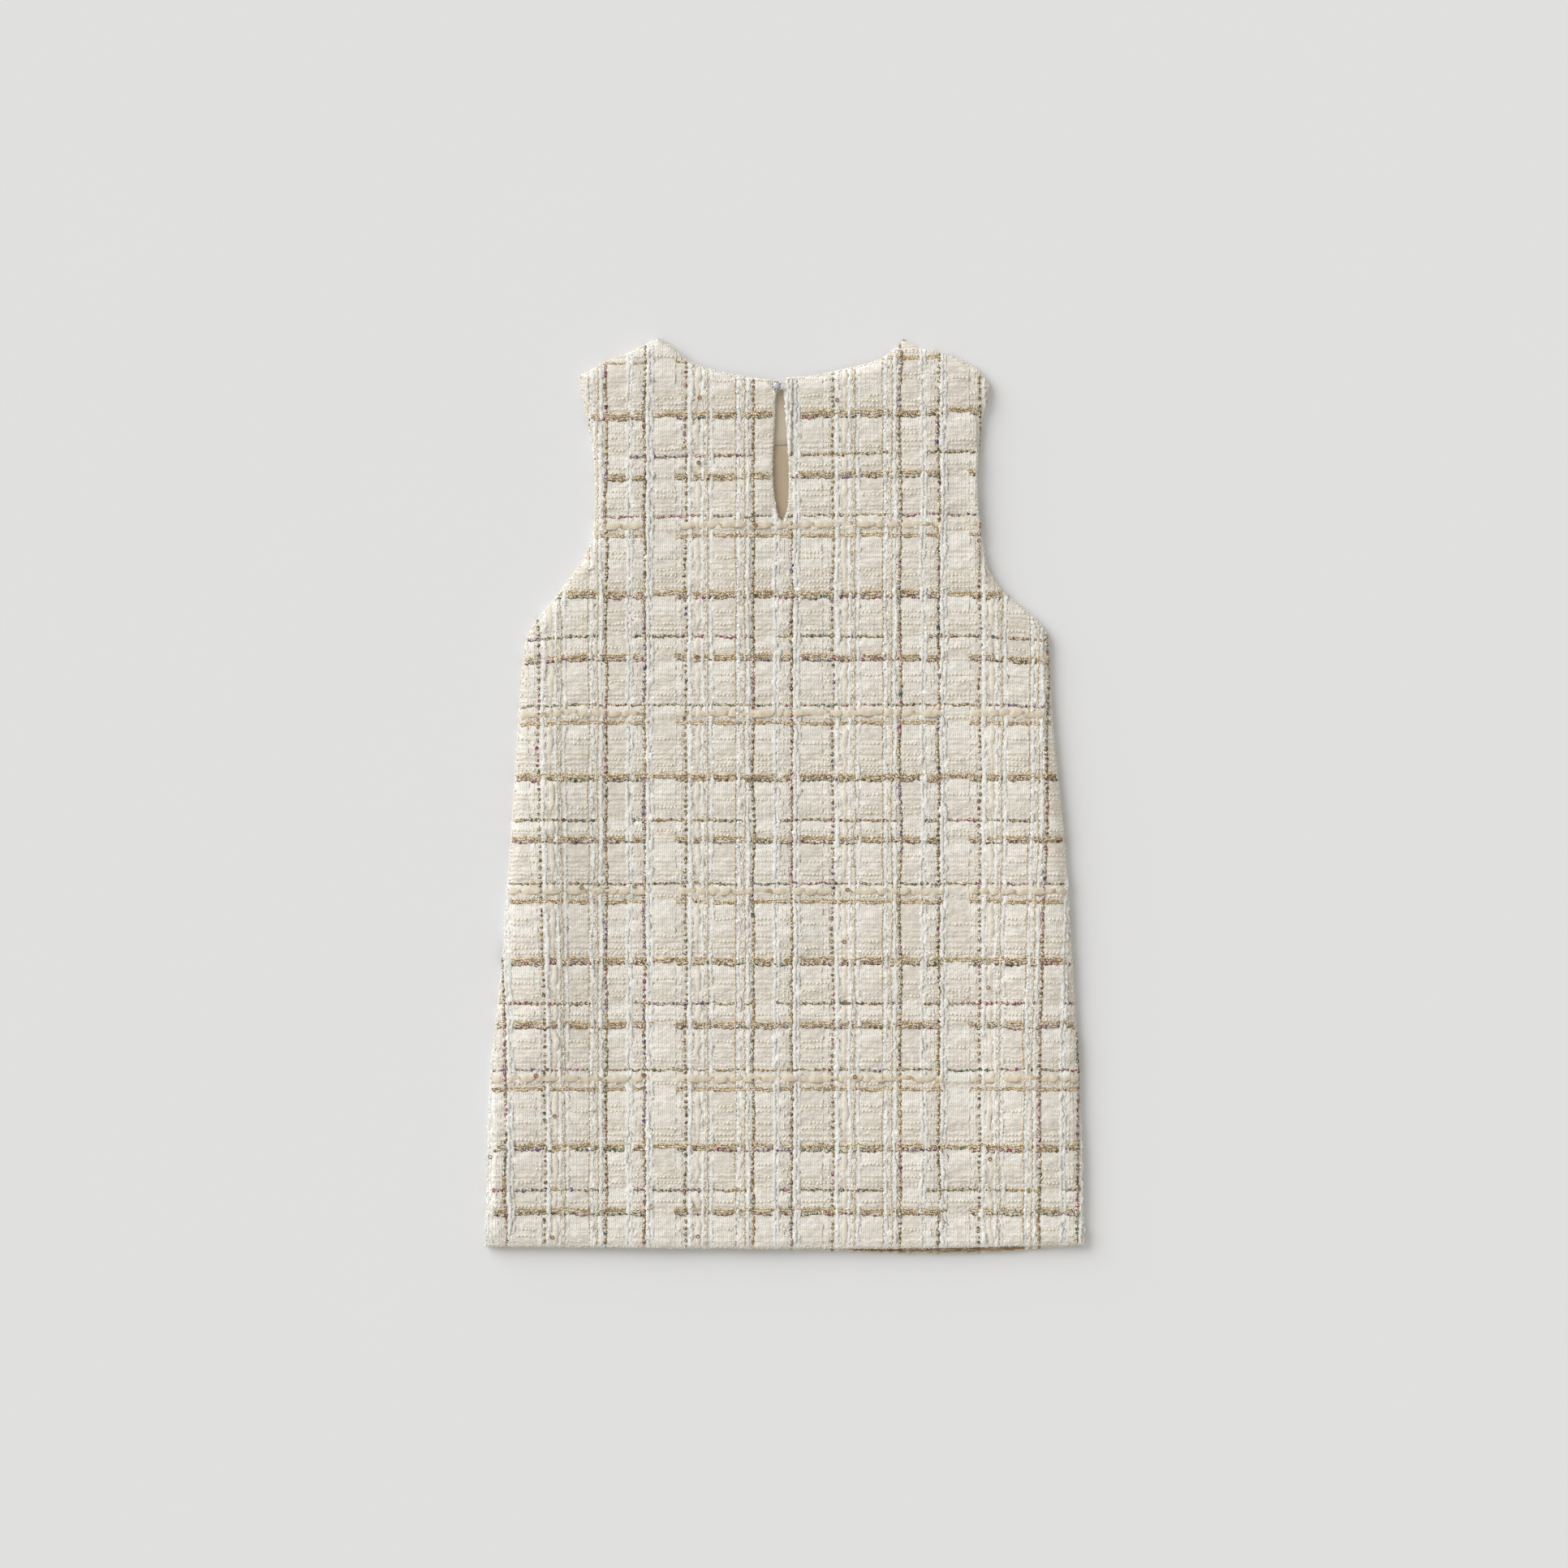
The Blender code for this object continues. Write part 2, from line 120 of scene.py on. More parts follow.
def ground_noise(rng: np.random.Generator, x: Array, y: Array, span: float, waves: int = 9) -> Array:
    """Makes soft, irregular hills over a cloth.

    Args:
        rng: the piece's own source of chance.
        x: places across.
        y: places along.
        span: about how wide a hill is.
        waves: how many waves are added.

    Returns:
        The height at each place, mostly from -1 to 1.
    """
    total = np.zeros(np.shape(x))
    for _ in range(waves):
        turn, length = rng.uniform(0, TURN), span * rng.uniform(0.7, 1.7)
        total += np.sin((x * math.cos(turn) + y * math.sin(turn)) * TURN / length + rng.uniform(0, TURN))
    return total / math.sqrt(waves)


def chance(*numbers: Array) -> Array:
    """Turns up to four whole numbers into one from 0 to 1 that looks like chance."""
    mixed = np.sin(sum(n * factor for n, factor in zip(numbers, CHANCE_FACTORS, strict=False))) * CHANCE_SPREAD
    return mixed - np.floor(mixed)


def unit(rows: Array) -> Array:
    """Brings each row to the length 1."""
    return rows / np.maximum(np.linalg.norm(rows, axis=1), 1e-9)[:, None]


def tube_faces(rings: int, sides: int) -> Array:
    """Joins rings of points into a tube.

    Args:
        rings: how many rings there are.
        sides: how many points each ring has.

    Returns:
        Rows of four numbers of points, ring after ring.
    """
    low = np.arange((rings - 1) * sides)
    onward = low + 1 - sides * (low % sides == sides - 1)
    return np.column_stack([low, low + sides, onward + sides, onward])


class Place(NamedTuple):
    """A point on the laid dress, in millimetres."""

    x: float
    y: float


class Crease(NamedTuple):
    """A soft trough or ridge of the laid back panel, placed one by one."""

    upper: Place
    lower: Place
    reach: float
    height: float


CREASES = tuple(
    Crease(Place(*row[:2]), Place(*row[2:4]), *row[4:])
    for row in (
        (-143, 40, -152, -192, 15, 1.5), (-92, 50, -97, -235, 22, -1.5), (112, 80, 117, -230, 20, -1.0),
        (159, 55, 164, -175, 12, 1.0), (154, -180, 160, -295, 14, 1.3), (-146, 100, -152, -64, 9, 0.8),
        (-176, -196, -181, -274, 12, 1.2), (-58, 205, -62, 118, 12, -0.3), (-19, 208, -23, 160, 15, 1.1),
        (-26, 168, -27, 50, 12, 0.8), (119, 258, 118, 228, 9, -0.4), (109, 224, 108, 156, 10, -0.9),
        (119, 165, 131, 84, 11, 1.0), (24, 120, 26, -150, 18, -0.6), (46, -10, 18, -128, 14, -0.5),
        (66, -20, 58, -230, 16, -0.3), (-20, -80, -10, -270, 18, 0.3), (84, -150, 90, -278, 14, 0.5),
        (104, -190, 108, -280, 14, -0.8), (-87, 266, -89, 236, 10, 0.7), (-109, 145, -112, 98, 12, 0.6),
        (-46, -5, -64, -122, 14, -0.4), (131, -55, 133, -140, 10, -0.5), (149, 116, 152, 60, 9, -0.6),
        (16, 182, 16, 140, 14, -0.5), (38, 278, 41, 224, 10, 0.5), (40, 28, 36, -50, 11, 0.5),
        (11, -48, 7, -105, 11, 0.5), (-149, -162, -152, -226, 10, -0.5), (25, -260, 200, -262, 22, -0.9),
        (-180, -267, 20, -267, 10, -0.3),
    )
)

# Levels along the dress, and how far the wefts near each lie from an even repeat.
DRIFTS = (
    (-262, -4.3), (-212, -2.9), (-168, 0.2), (-140, -1.5), (-103, -0.9), (-62, 2.8), (-40, 1.2),
    (-14, -0.9), (8, 0.0), (120, 0.0), (160, 3.2), (172, 4.4), (195, -0.4), (240, -1.2),
)


@dataclass(frozen=True)
class CheckLayout:
    """Where the repeats of the check lie on the laid back panel."""

    warp_origin: float = -110.0
    warp_repeat: float = 90.4
    weft_origin: float = 122.6
    weft_repeat: float = 112.25
    side_lean: float = 5.0
    lean_from: float = 112.0
    lean_level: float = 30.0
    side_droop: float = 2.8
    underarm: Place = Place(120, 92)
    shoulder_tilt: float = 0.016
    shoulder_level: float = 120.0

    def warp_shift(self, x: Array, y: Array) -> Array:
        """Finds how far a warp has moved sideways.

        Args:
            x: the warp's even place.
            y: the level along it.

        Returns:
            The shift at each place: the flared sides lean in towards the hem.
        """
        side = ease((np.abs(x) - self.lean_from) / 55) * np.sign(x)
        return -self.side_lean * side * ease((self.lean_level - y) / 210)

    def weft_shift(self, x: Array, y: Array) -> Array:
        """Finds how far a weft has moved up.

        Args:
            x: the place across.
            y: the weft's even level.

        Returns:
            The shift at each place: uneven beating, a droop at the underarms and a tilt at the shoulders.
        """
        even = np.interp(y, *zip(*DRIFTS, strict=True))
        droop = ease(1 - np.abs(y - self.underarm.y) / 70) * ease((np.abs(x) - self.underarm.x) / 45)
        return even - self.side_droop * droop + self.shoulder_tilt * x * ease((y - self.shoulder_level) / 90)

    def warp_phase(self, x: Array, y: Array) -> Array:
        """The place within the warp repeats, growing from left to right."""
        return x - self.warp_shift(x, y) - self.warp_origin

    def weft_phase(self, x: Array, y: Array) -> Array:
        """The place within the weft repeats, growing from the neck to the hem."""
        return self.weft_origin - (y - self.weft_shift(x, y))

    def columns(self, x: Array, y: Array, edges: Sequence[float]) -> "Bays":
        """Finds the bays between the warps, which end at these places of their repeat."""
        return Bays.find(self.warp_phase(x, y), self.warp_repeat, edges)

    def rows(self, x: Array, y: Array, edges: Sequence[float]) -> "Bays":
        """Finds the bays between the wefts, which end at these places of their repeat."""
        return Bays.find(self.weft_phase(x, y), self.weft_repeat, edges)

    @staticmethod
    def _between(low: float, high: float, start: float, step: float) -> Iterator[tuple[int, float]]:
        """Yields the numbers and the places of all repeats between two bounds.

        Args:
            low: the lower bound.
            high: the upper bound.
            start: the place in repeat 0.
            step: the way to the next repeat.
        """
        first, last = sorted(((low - start) / step, (high - start) / step))
        for repeat in range(math.ceil(first), math.floor(last) + 1):
            yield repeat, start + repeat * step

    def warps_between(self, low: float, high: float, at: float) -> Iterator[tuple[int, float]]:
        """Yields each repeat's number and the even place of the warp at this place within it."""
        return self._between(low, high, self.warp_origin + at, self.warp_repeat)

    def wefts_between(self, low: float, high: float, at: float) -> Iterator[tuple[int, float]]:
        """Yields each repeat's number and the even level of the weft at this place within it."""
        return self._between(low, high, self.weft_origin - at, -self.weft_repeat)


class Bays(NamedTuple):
    turn: Array
    within: Array
    number: Array
    low: Array
    high: Array

    @classmethod
    def find(cls, phase: Array, repeat: float, edges: Sequence[float]) -> "Bays":
        """Finds the bays.

        Args:
            phase: the place within the repeats.
            repeat: the repeat's length.
            edges: where the bays of one repeat start, and where the last one ends.

        Returns:
            The bay of each place.
        """
        turn = np.floor(phase / repeat)
        within = phase - turn * repeat
        number = np.clip(np.searchsorted(edges, within, "right") - 1, 0, len(edges) - 2)
        return cls(turn, within, number, np.array(edges)[number], np.array(edges)[number + 1])

    def share(self) -> Array:
        """The share of the way through the bay."""
        return (self.within - self.low) / (self.high - self.low)

    def counted(self, each: int) -> Array:
        """The bay's number over all repeats, with this many numbers for each repeat."""
        return (self.turn * each + self.number).astype(int)


class YarnKind(Enum):
    """The yarns of the tweed."""

    GLITTER = "glitter"
    BAND = "band"
    FINE = "fine"
    GOLD = "gold"
    ORANGE = "orange"
    PUFF = "puff"
    CORD = "cord"
    SLUB = "slub"


class Warp(NamedTuple):
    """A warp yarn: its place in the repeat, its width, and how white or how unbroken it is."""

    kind: YarnKind
    at: float
    width: float
    white: float = 1.0


class Weft(NamedTuple):
    """A weft yarn: its place in the repeat, its width, and how far it sags between the warps that hold it.

    It runs below the ground in its hidden bays, and in every second repeat in its skipped ones.
    """

    kind: YarnKind
    at: float
    width: float
    sag: float
    hidden: tuple[tuple[float, float], ...] = ()
    skipped: tuple[tuple[float, float], ...] = ()


WARPS = tuple(
    Warp(YarnKind[kind], *rest)
    for kind, *rest in (
        ("GLITTER", 0.0, 2.2, 0.8), ("BAND", 14.4, 4.2, 0.7), ("FINE", 18.6, 1.1, 0.8), ("FINE", 21.0, 1.0, 0.7),
        ("GLITTER", 23.6, 2.3, 0.75), ("BAND", 27.0, 4.4, 0.9), ("FINE", 42.6, 1.5, 0.8), ("FINE", 46.2, 1.2, 0.6),
        ("GLITTER", 48.8, 2.2, 0.5), ("BAND", 51.9, 3.0, 0.95), ("PUFF", 56.4, 3.6, 0.35), ("BAND", 59.7, 2.2, 0.45),
        ("GOLD", 62.0, 1.9), ("BAND", 65.0, 2.6, 0.8), ("ORANGE", 79.4, 1.3), ("BAND", 81.8, 2.6, 0.7),
        ("GOLD", 84.7, 1.7), ("BAND", 87.4, 2.7, 0.85),
    )
)

WEFTS = tuple(
    Weft(YarnKind[kind], *rest)
    for kind, *rest in (
        ("CORD", -2.2, 3.3, 0.7, ((15.5, 17.5),)),
        ("GLITTER", 0.2, 2.6, 0.85, (), ((27.0, 42.5),)),
        ("GLITTER", 24.2, 2.6, 0.4, ((1.2, 14.0),)),
        ("CORD", 36.2, 2.9, 0.6, (), ((30.0, 41.0),)),
        ("GLITTER", 38.5, 2.1, 0.75, (), ((26.5, 42.0),)),
        ("GLITTER", 66.3, 2.2, 0.7),
        ("SLUB", 71.6, 5.0, 0.3, (), ((27.0, 43.0),)),
        ("CORD", 77.4, 3.0, 0.4, (), ((27.0, 42.0),)),
    )
)

# Levels within the weft repeat: the ends of the groups of wefts, the rows of cream dots and the fullest rows.
WEFT_GROUPS = (15.0, 30.0, 55.0)
BEAD_ROWS = (-8.3, -5.2, 9.3, 12.2, 16.9, 20.2, 31.4, 34.4, 48.2, 52.3, 60.7, 74.6, 87.6, 90.5, 97.2, 100.3)
FULL_ROWS = (-5.2, 31.4)
# The ends of the bays between the warps, the numbers of those too narrow for dots, the ends of the bays
# between the wefts, and the warps that hold a slack weft.
BAYS = (0.0, 15.0, 24.3, 28.1, 43.5, 49.5, 56.0, 65.2, 80.0, 90.4)
NARROW_BAYS = (2, 5, 6, 8)
ROWS = (0.0, 24.5, 40.0, 66.8, 76.5, 112.25)
HOLDS = (0.0, 15.0, 24.3, 28.1, 43.5, 49.5, 65.2, 82.2, 90.4)
# The angles round a flat yarn, the foot of the warp beside the slit, the end of the shoulder that has no
# thick yarns, and how often a white band crosses over a weft.
FLAT_PROFILE = (90, 130, 186, 270, 354, 50)
SLIT_WARP = Place(2.5, 168)
BARE_SHOULDER = Place(-58, 264)
CROSSING_SHARE = 0.62


def crosses(warp: int, warp_repeat: Array, weft: int, weft_repeat: Array) -> Array:
    """Chooses where a white band crosses over a weft.

    Args:
        warp: the band's number in WARPS.
        warp_repeat: the number of its repeat.
        weft: the weft's number in WEFTS.
        weft_repeat: the number of its repeat.

    Returns:
        1 where the band lies on top, and 0 where the weft does.
    """
    return (chance(warp, warp_repeat, weft, weft_repeat) < CROSSING_SHARE * WARPS[warp].white) * 1.0


@dataclass
class Raster:
    """A grid over the dress: its lowest corner, how far apart its points lie, and a row for each step along y."""

    low: Array
    cell: float
    values: Array

    def at(self, x: Array, y: Array) -> Array:
        """Reads the grid.

        Args:
            x: places across.
            y: places along.

        Returns:
            The number at each place, blended between the grid's points.
        """
        rows, columns = self.values.shape
        across = np.clip((np.asarray(x) - self.low[0]) / self.cell, 0, columns - 1.001)
        along = np.clip((np.asarray(y) - self.low[1]) / self.cell, 0, rows - 1.001)
        i, j = across.astype(int), along.astype(int)
        p, q = across - i, along - j
        v = self.values
        return (v[j, i] * (1 - p) + v[j, i + 1] * p) * (1 - q) + (v[j + 1, i] * (1 - p) + v[j + 1, i + 1] * p) * q


def blurred(values: Array, known: Array, reach: float) -> Array:
    """Softens a grid and fills the places that it doesn't know.

    Args:
        values: the grid.
        known: True where it holds a real number.
        reach: the blur, in cells.

    Returns:
        The softened grid, filled outwards from what is known.
    """
    span = int(reach * 3)
    weight = np.exp(-0.5 * (np.arange(-span, span + 1) / reach) ** 2)

    def soften(grid: Array) -> Array:
        """Blurs along both axes."""
        for axis in (0, 1):
            grid = np.apply_along_axis(lambda line: np.convolve(line, weight, "same"), axis, grid)
        return grid

    held = soften(known.astype(float))
    result = soften(np.where(known, values, 0)) / np.maximum(held, 1e-9)
    empty = held < 1e-4
    return np.where(empty, float(values[known].mean()), result)


class LaidPanel:
    """The outline and the heights of one laid cloth, read from its solid in the frame."""

    corner = math.radians(35)
    margin = 4
    cell = 3
    blur = 1.9
    sure_depths = (6.5, 0.8)
    fewest = 12
    roll_reach = 7.0
    ray_from = 90

    def __init__(self, node: Object, step: float, roll: float = 0.0) -> None:
        """Reads the solid.

        Args:
            node: the cloth's node of the frame.
            step: the spacing of the new outline's points.
            roll: how far the cloth drops towards its outer edges.
        """
        mesh = node.data
        points = np.empty(len(mesh.vertices) * 3)
        mesh.vertices.foreach_get("co", points)
        points = points.reshape(-1, 3) / MM
        self.node, self.roll = node.name, roll
        self.outline = self._smoothed(self._silhouette(mesh, points), step)
        self.low, self.high = points.min(0), points.max(0)
        tree = BVHTree.FromPolygons(points.tolist(), [tuple(p.vertices) for p in mesh.polygons])
        self._survey(tree)

    @staticmethod
    def _silhouette(mesh: bpy.types.Mesh, points: Array) -> Array:
        """Follows the line where the solid's upper faces meet its lower ones.

        Args:
            mesh: the solid.
            points: its vertices.

        Returns:
            The longest such loop, seen from above.
        """
        _, same = np.unique(np.round(points, 3), axis=0, return_inverse=True)
        same = same.ravel()
        place = {int(same[i]): points[i, :2] for i in range(len(points))}
        sides: dict[tuple[int, int], list[bool]] = {}
        for face in mesh.polygons:
            corners = [int(same[v]) for v in face.vertices]
            for a, b in zip(corners, corners[1:] + corners[:1], strict=True):
                sides.setdefault((min(a, b), max(a, b)), []).append(face.normal.z > 0)
        following: dict[int, list[int]] = {}
        for (a, b), ups in sides.items():
            if a != b and len(ups) == 2 and ups[0] != ups[1]:
                following.setdefault(a, []).append(b)
                following.setdefault(b, []).append(a)
        loops: list[list[int]] = []
        free = set(following)
        while free:
            loop = [min(free)]
            while True:
                free.discard(loop[-1])
                onward = [n for n in following[loop[-1]] if n in free]
                if not onward:
                    break
                loop.append(onward[0])
            loops.append(loop)
        longest = np.array([place[i] for i in max(loops, key=len)])
        x, y = longest.T
        area = (x * np.roll(y, -1) - y * np.roll(x, -1)).sum()
        return longest if area > 0 else longest[::-1]

    def _smoothed(self, loop: Array, step: float) -> Array:
        """Runs a smooth line through the solid's outline, which keeps its corners.

        Args:
            loop: the outline's points.
            step: the spacing of the new points.

        Returns:
            The new closed outline.
        """
        onward = np.roll(loop, -1, 0) - loop
        length = np.linalg.norm(onward, axis=1)
        heading = np.arctan2(onward[:, 1], onward[:, 0])
        turn = np.abs((heading - np.roll(heading, 1) + math.pi) % TURN - math.pi)
        smooth = (np.roll(loop, -1, 0) - np.roll(loop, 1, 0)) / (length + np.roll(length, 1))[:, None]
        run = onward / length[:, None]
        sharp = (turn > self.corner)[:, None]
        leaving, arriving = np.where(sharp, run, smooth), np.where(sharp, np.roll(run, 1, 0), smooth)
        made = []
        for i, (start, span) in enumerate(zip(loop, length, strict=True)):
            j = (i + 1) % len(loop)
            t = np.arange(max(1, round(span / step)))[:, None] / max(1, round(span / step))
            made.append(
                (2 * t**3 - 3 * t**2 + 1) * start
                + (t**3 - 2 * t**2 + t) * span * leaving[i]
                + (3 * t**2 - 2 * t**3) * loop[j]
                + (t**3 - t**2) * span * arriving[j]
            )
        return np.concatenate(made)

    def _survey(self, tree: BVHTree) -> None:
        """Makes the grids of depth from the edge, upper height and lower height.

        Args:
            tree: the solid, for rays.
        """
        low, cell = self.low[:2] - self.margin, self.cell
        columns, rows = (self.high[:2] + self.margin - low).astype(int) + 2
        gx, gy = np.meshgrid(low[0] + np.arange(columns), low[1] + np.arange(rows))
        self.depths = Raster(low, 1.0, self.signed_depth(gx.ravel(), gy.ravel()).reshape(gx.shape))
        for depth in self.sure_depths:
            known = self.depths.values[::cell, ::cell] > depth
            if known.sum() >= self.fewest:
                break
        heights = np.zeros((2, *known.shape))
        for j, i in zip(*np.nonzero(known), strict=True):
            x, y = low[0] + cell * i, low[1] + cell * j
            hits = [tree.ray_cast(Vector((x, y, side * self.ray_from)), Vector((0, 0, -side)))[0] for side in (1, -1)]
            known[j, i] = None not in hits
            if known[j, i]:
                heights[:, j, i] = [hit.z for hit in hits]
        self.tops, self.floors = (Raster(low, cell, blurred(grid, known, self.blur)) for grid in heights)

    def signed_depth(self, x: Array, y: Array) -> Array:
        """Measures how deep inside the outline each place lies.

        Args:
            x: places across.
            y: places along.

        Returns:
            The distance to the outline, which is negative outside.
        """
        line = self.outline
        nearest = KDTree(len(line))
        for number, point in enumerate(line):
            nearest.insert((*point, 0), number)
        nearest.balance()
        found = np.array([nearest.find((px, py, 0))[1] for px, py in zip(x, y, strict=True)])
        away = np.full(len(x), np.inf)
        for first in (found - 1, found):
            start, run = line[first % len(line)], (np.roll(line, -1, 0) - line)[first % len(line)]
            off = np.column_stack([x, y]) - start
            t = np.clip((off * run).sum(1) / np.maximum((run**2).sum(1), 1e-12), 0, 1)
            away = np.minimum(away, np.linalg.norm(off - t[:, None] * run, axis=1))
        return np.where(self._inside(x, y), away, -away)

    def _inside(self, x: Array, y: Array) -> Array:
        """Tells which places lie inside the outline, by how many of its sides each place's row crosses.

        Args:
            x: places across.
            y: places along.

        Returns:
            True for each place inside.
        """
        start, after = self.outline, np.roll(self.outline, -1, 0)
        order = np.argsort(y, kind="stable")
        ranked = y[order]
        crossed = np.zeros(len(x), int)
        for (ax, ay), (bx, by) in zip(start, after, strict=True):
            low, high = np.searchsorted(ranked, (min(ay, by), max(ay, by)))
            part = order[low:high]
            if len(part):
                crossed[part] += x[part] < ax + (y[part] - ay) / (by - ay) * (bx - ax)
        return crossed % 2 == 1

    def rolled(self, x: Array, y: Array) -> Array:
        """How far the cloth has dropped where it rolls over to its side: less at the slit, right armhole and hem.

        Args:
            x: places across.
            y: places along.

        Returns:
            The drop at each place.
        """
        away = np.clip(1 - self.depths.at(x, y) / self.roll_reach, 0, 1)
        slit = ease((11 - np.abs(x + 3)) / 4) * ease((y - 158) / 8)
        armhole = 0.8 * ease((x - 100) / 8) * ease((y - 150) / 14) * ease((218 - y) / 14)
        hem = 0.4 * ease((-258 - y) / 8)
        return self.roll * away**2 * (1 - slit) * (1 - armhole) * (1 - hem)


class ClothMesh:
    """Makes meshes from arrays, in metres, as pieces of the part."""

    @staticmethod
    def build(name: str, points: Array, faces: Array, material: Material, places: Array | None = None) -> Object:
        """Makes a smooth mesh object that rides on the part.

        Args:
            name: the piece's name.
            points: its vertices in millimetres.
            faces: its faces, as rows of vertex numbers, all with the same count.
            material: its finish.
            places: the bake map, one row for each corner of the faces.

        Returns:
            The new object.
        """
        mesh = bpy.data.meshes.new(name)
        mesh.vertices.add(len(points))
        mesh.vertices.foreach_set("co", (points * MM).astype(np.float32).ravel())
        count = faces.shape[1]
        mesh.loops.add(faces.size)
        mesh.loops.foreach_set("vertex_index", faces.astype(np.int32).ravel())
        mesh.polygons.add(len(faces))
        mesh.polygons.foreach_set("loop_start", np.arange(0, faces.size, count, dtype=np.int32))
        mesh.polygons.foreach_set("use_smooth", np.ones(len(faces), bool))
        mesh.update(calc_edges=True)
        mesh.validate()
        if places is not None:
            layer = mesh.uv_layers.new(name=BAKE_MAP)
            layer.uv.foreach_set("vector", places.astype(np.float32).ravel())
        mesh.materials.append(material)
        made = bpy.data.objects.new(name, mesh)
        bpy.context.scene.collection.objects.link(made)
        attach(made, "root")
        log.info("%s: %d faces of %d corners", name, len(faces), count)
        return made

    @staticmethod
    def facet(made: Object) -> None:
        """Gives a piece flat shading, for cut stones and sequins."""
        made.data.polygons.foreach_set("use_smooth", np.zeros(len(made.data.polygons), bool))

    @staticmethod
    def colour(made: Object, name: str, values: Array) -> None:
        """Stores a colour at each vertex, one row of red, green and blue for each."""
        layer = made.data.color_attributes.new(name=name, type="FLOAT_COLOR", domain="POINT")
        layer.data.foreach_set("color", np.column_stack([values, np.ones(len(values))]).astype(np.float32).ravel())

    @staticmethod
    def vector(made: Object, name: str, values: Array) -> None:
        """Stores a vector at each vertex, one row of three numbers for each."""
        layer = made.data.attributes.new(name=name, type="FLOAT_VECTOR", domain="POINT")
        layer.data.foreach_set("vector", values.astype(np.float32).ravel())


class Bench:
    """Lays out the nodes of one material."""

    def __init__(self, name: str) -> None:
        """Starts a material that has only its shader and its output."""
        self.material = bpy.data.materials.new(name)
        self.material.use_nodes = True
        self.tree = self.material.node_tree
        self.shader = self.tree.nodes["Principled BSDF"]

    def make(self, kind: str, values: dict | None = None, **settings: object) -> bpy.types.Node:
        """Adds a node.

        Args:
            kind: the node's type.
            values: what goes into its sockets, by name or number: a number, a colour, or another socket.
            settings: the node's own options.

        Returns:
            The node.
        """
        made = self.tree.nodes.new(kind)
        for name, value in settings.items():
            setattr(made, name, value)
        for name, value in (values or {}).items():
            self.feed(made.inputs[name], value)
        return made

    def feed(self, socket: Socket, value: object) -> None:
        """Puts a number, a colour or another socket into a socket.

        Args:
            socket: where it goes.
            value: what goes in.
        """
        if isinstance(value, Socket):
            self.tree.links.new(value, socket)
        else:
            socket.default_value = value

    def math(self, operation: str, *values: object, clamp: bool = False) -> Socket:
        """Adds a sum of one to three numbers and returns its result."""
        return self.make("ShaderNodeMath", dict(enumerate(values)), operation=operation, use_clamp=clamp).outputs[0]

    def times(self, first: object, second: object) -> Socket:
        """Multiplies two numbers and returns the result."""
        return self.math("MULTIPLY", first, second)

    def less(self, first: object, second: object, clamp: bool = False) -> Socket:
        """Takes the second number from the first and returns the result."""
        return self.math("SUBTRACT", first, second, clamp=clamp)

    def fit(self, value: object, gain: object, base: object, clamp: bool = False) -> Socket:
        """Multiplies a number by a gain, adds a base and returns the result."""
        return self.math("MULTIPLY_ADD", value, gain, base, clamp=clamp)

    def mix(self, share: object, first: object, second: object, blend: str = "MIX") -> Socket:
        """Mixes two colours and returns the result.

        Args:
            share: how much of the second colour.
            first: the first colour.
            second: the second colour.
            blend: how they mix.

        Returns:
            The mixed colour.
        """
        made = self.make("ShaderNodeMix", data_type="RGBA", blend_type=blend)
        for number, value in ((0, share), (6, first), (7, second)):
            is_plain = not isinstance(value, Socket) and number
            self.feed(made.inputs[number], (*np.asarray(value, float)[:3], 1.0) if is_plain else value)
        return made.outputs[2]

    def noise(self, place: object, scale: float, detail: float = 2.0, rough: float = 0.5) -> Socket:
        """Adds soft noise, of this many hills for each millimetre, and returns its strength."""
        values = {"Vector": place, "Scale": scale, "Detail": detail, "Roughness": rough}
        return self.make("ShaderNodeTexNoise", values).outputs[0]

    def wave(self, place: object, pitch: float, phase: object = 0.0) -> Socket:
        """Adds a sine from 0 to 1 with this pitch in millimetres, and returns it."""
        turned = self.math("ADD", self.times(place, TURN / pitch), phase)
        return self.fit(self.math("SINE", turned), 0.5, 0.5)

    def millimetres(self) -> Socket:
        """Returns each point's place on the object in millimetres."""
        place = self.make("ShaderNodeTexCoord").outputs["Object"]
        return self.make("ShaderNodeVectorMath", {0: place, 1: (1 / MM,) * 3}, operation="MULTIPLY").outputs[0]

    def stretched(self, place: object, across: float, along: float) -> Socket:
        """Scales places unevenly, so that a noise read there is drawn out across or along."""
        return self.make("ShaderNodeVectorMath", {0: place, 1: (across, along, 1.0)}, operation="MULTIPLY").outputs[0]

    def read(self, name: str) -> bpy.types.Node:
        """Adds a node that reads what is stored at the vertices under this name."""
        return self.make("ShaderNodeAttribute", attribute_name=name)

    def split(self, vector: Socket) -> tuple[Socket, ...]:
        """Returns the three parts of a vector."""
        return tuple(self.make("ShaderNodeSeparateXYZ", {0: vector}).outputs)

    def bump(self, height: Socket, depth: float, strength: float = 1.0) -> None:
        """Raises the surface by this many millimetres where the height is 1."""
        made = self.make("ShaderNodeBump", {"Height": height, "Distance": depth * MM, "Strength": strength})
        self.feed(self.shader.inputs["Normal"], made.outputs[0])

    def dress(self, **values: object) -> Material:
        """Sets the shader's own sockets, with _ for a space in their names, and returns the material."""
        for name, value in values.items():
            self.feed(self.shader.inputs[name.replace("_", " ")], value)
        return self.material


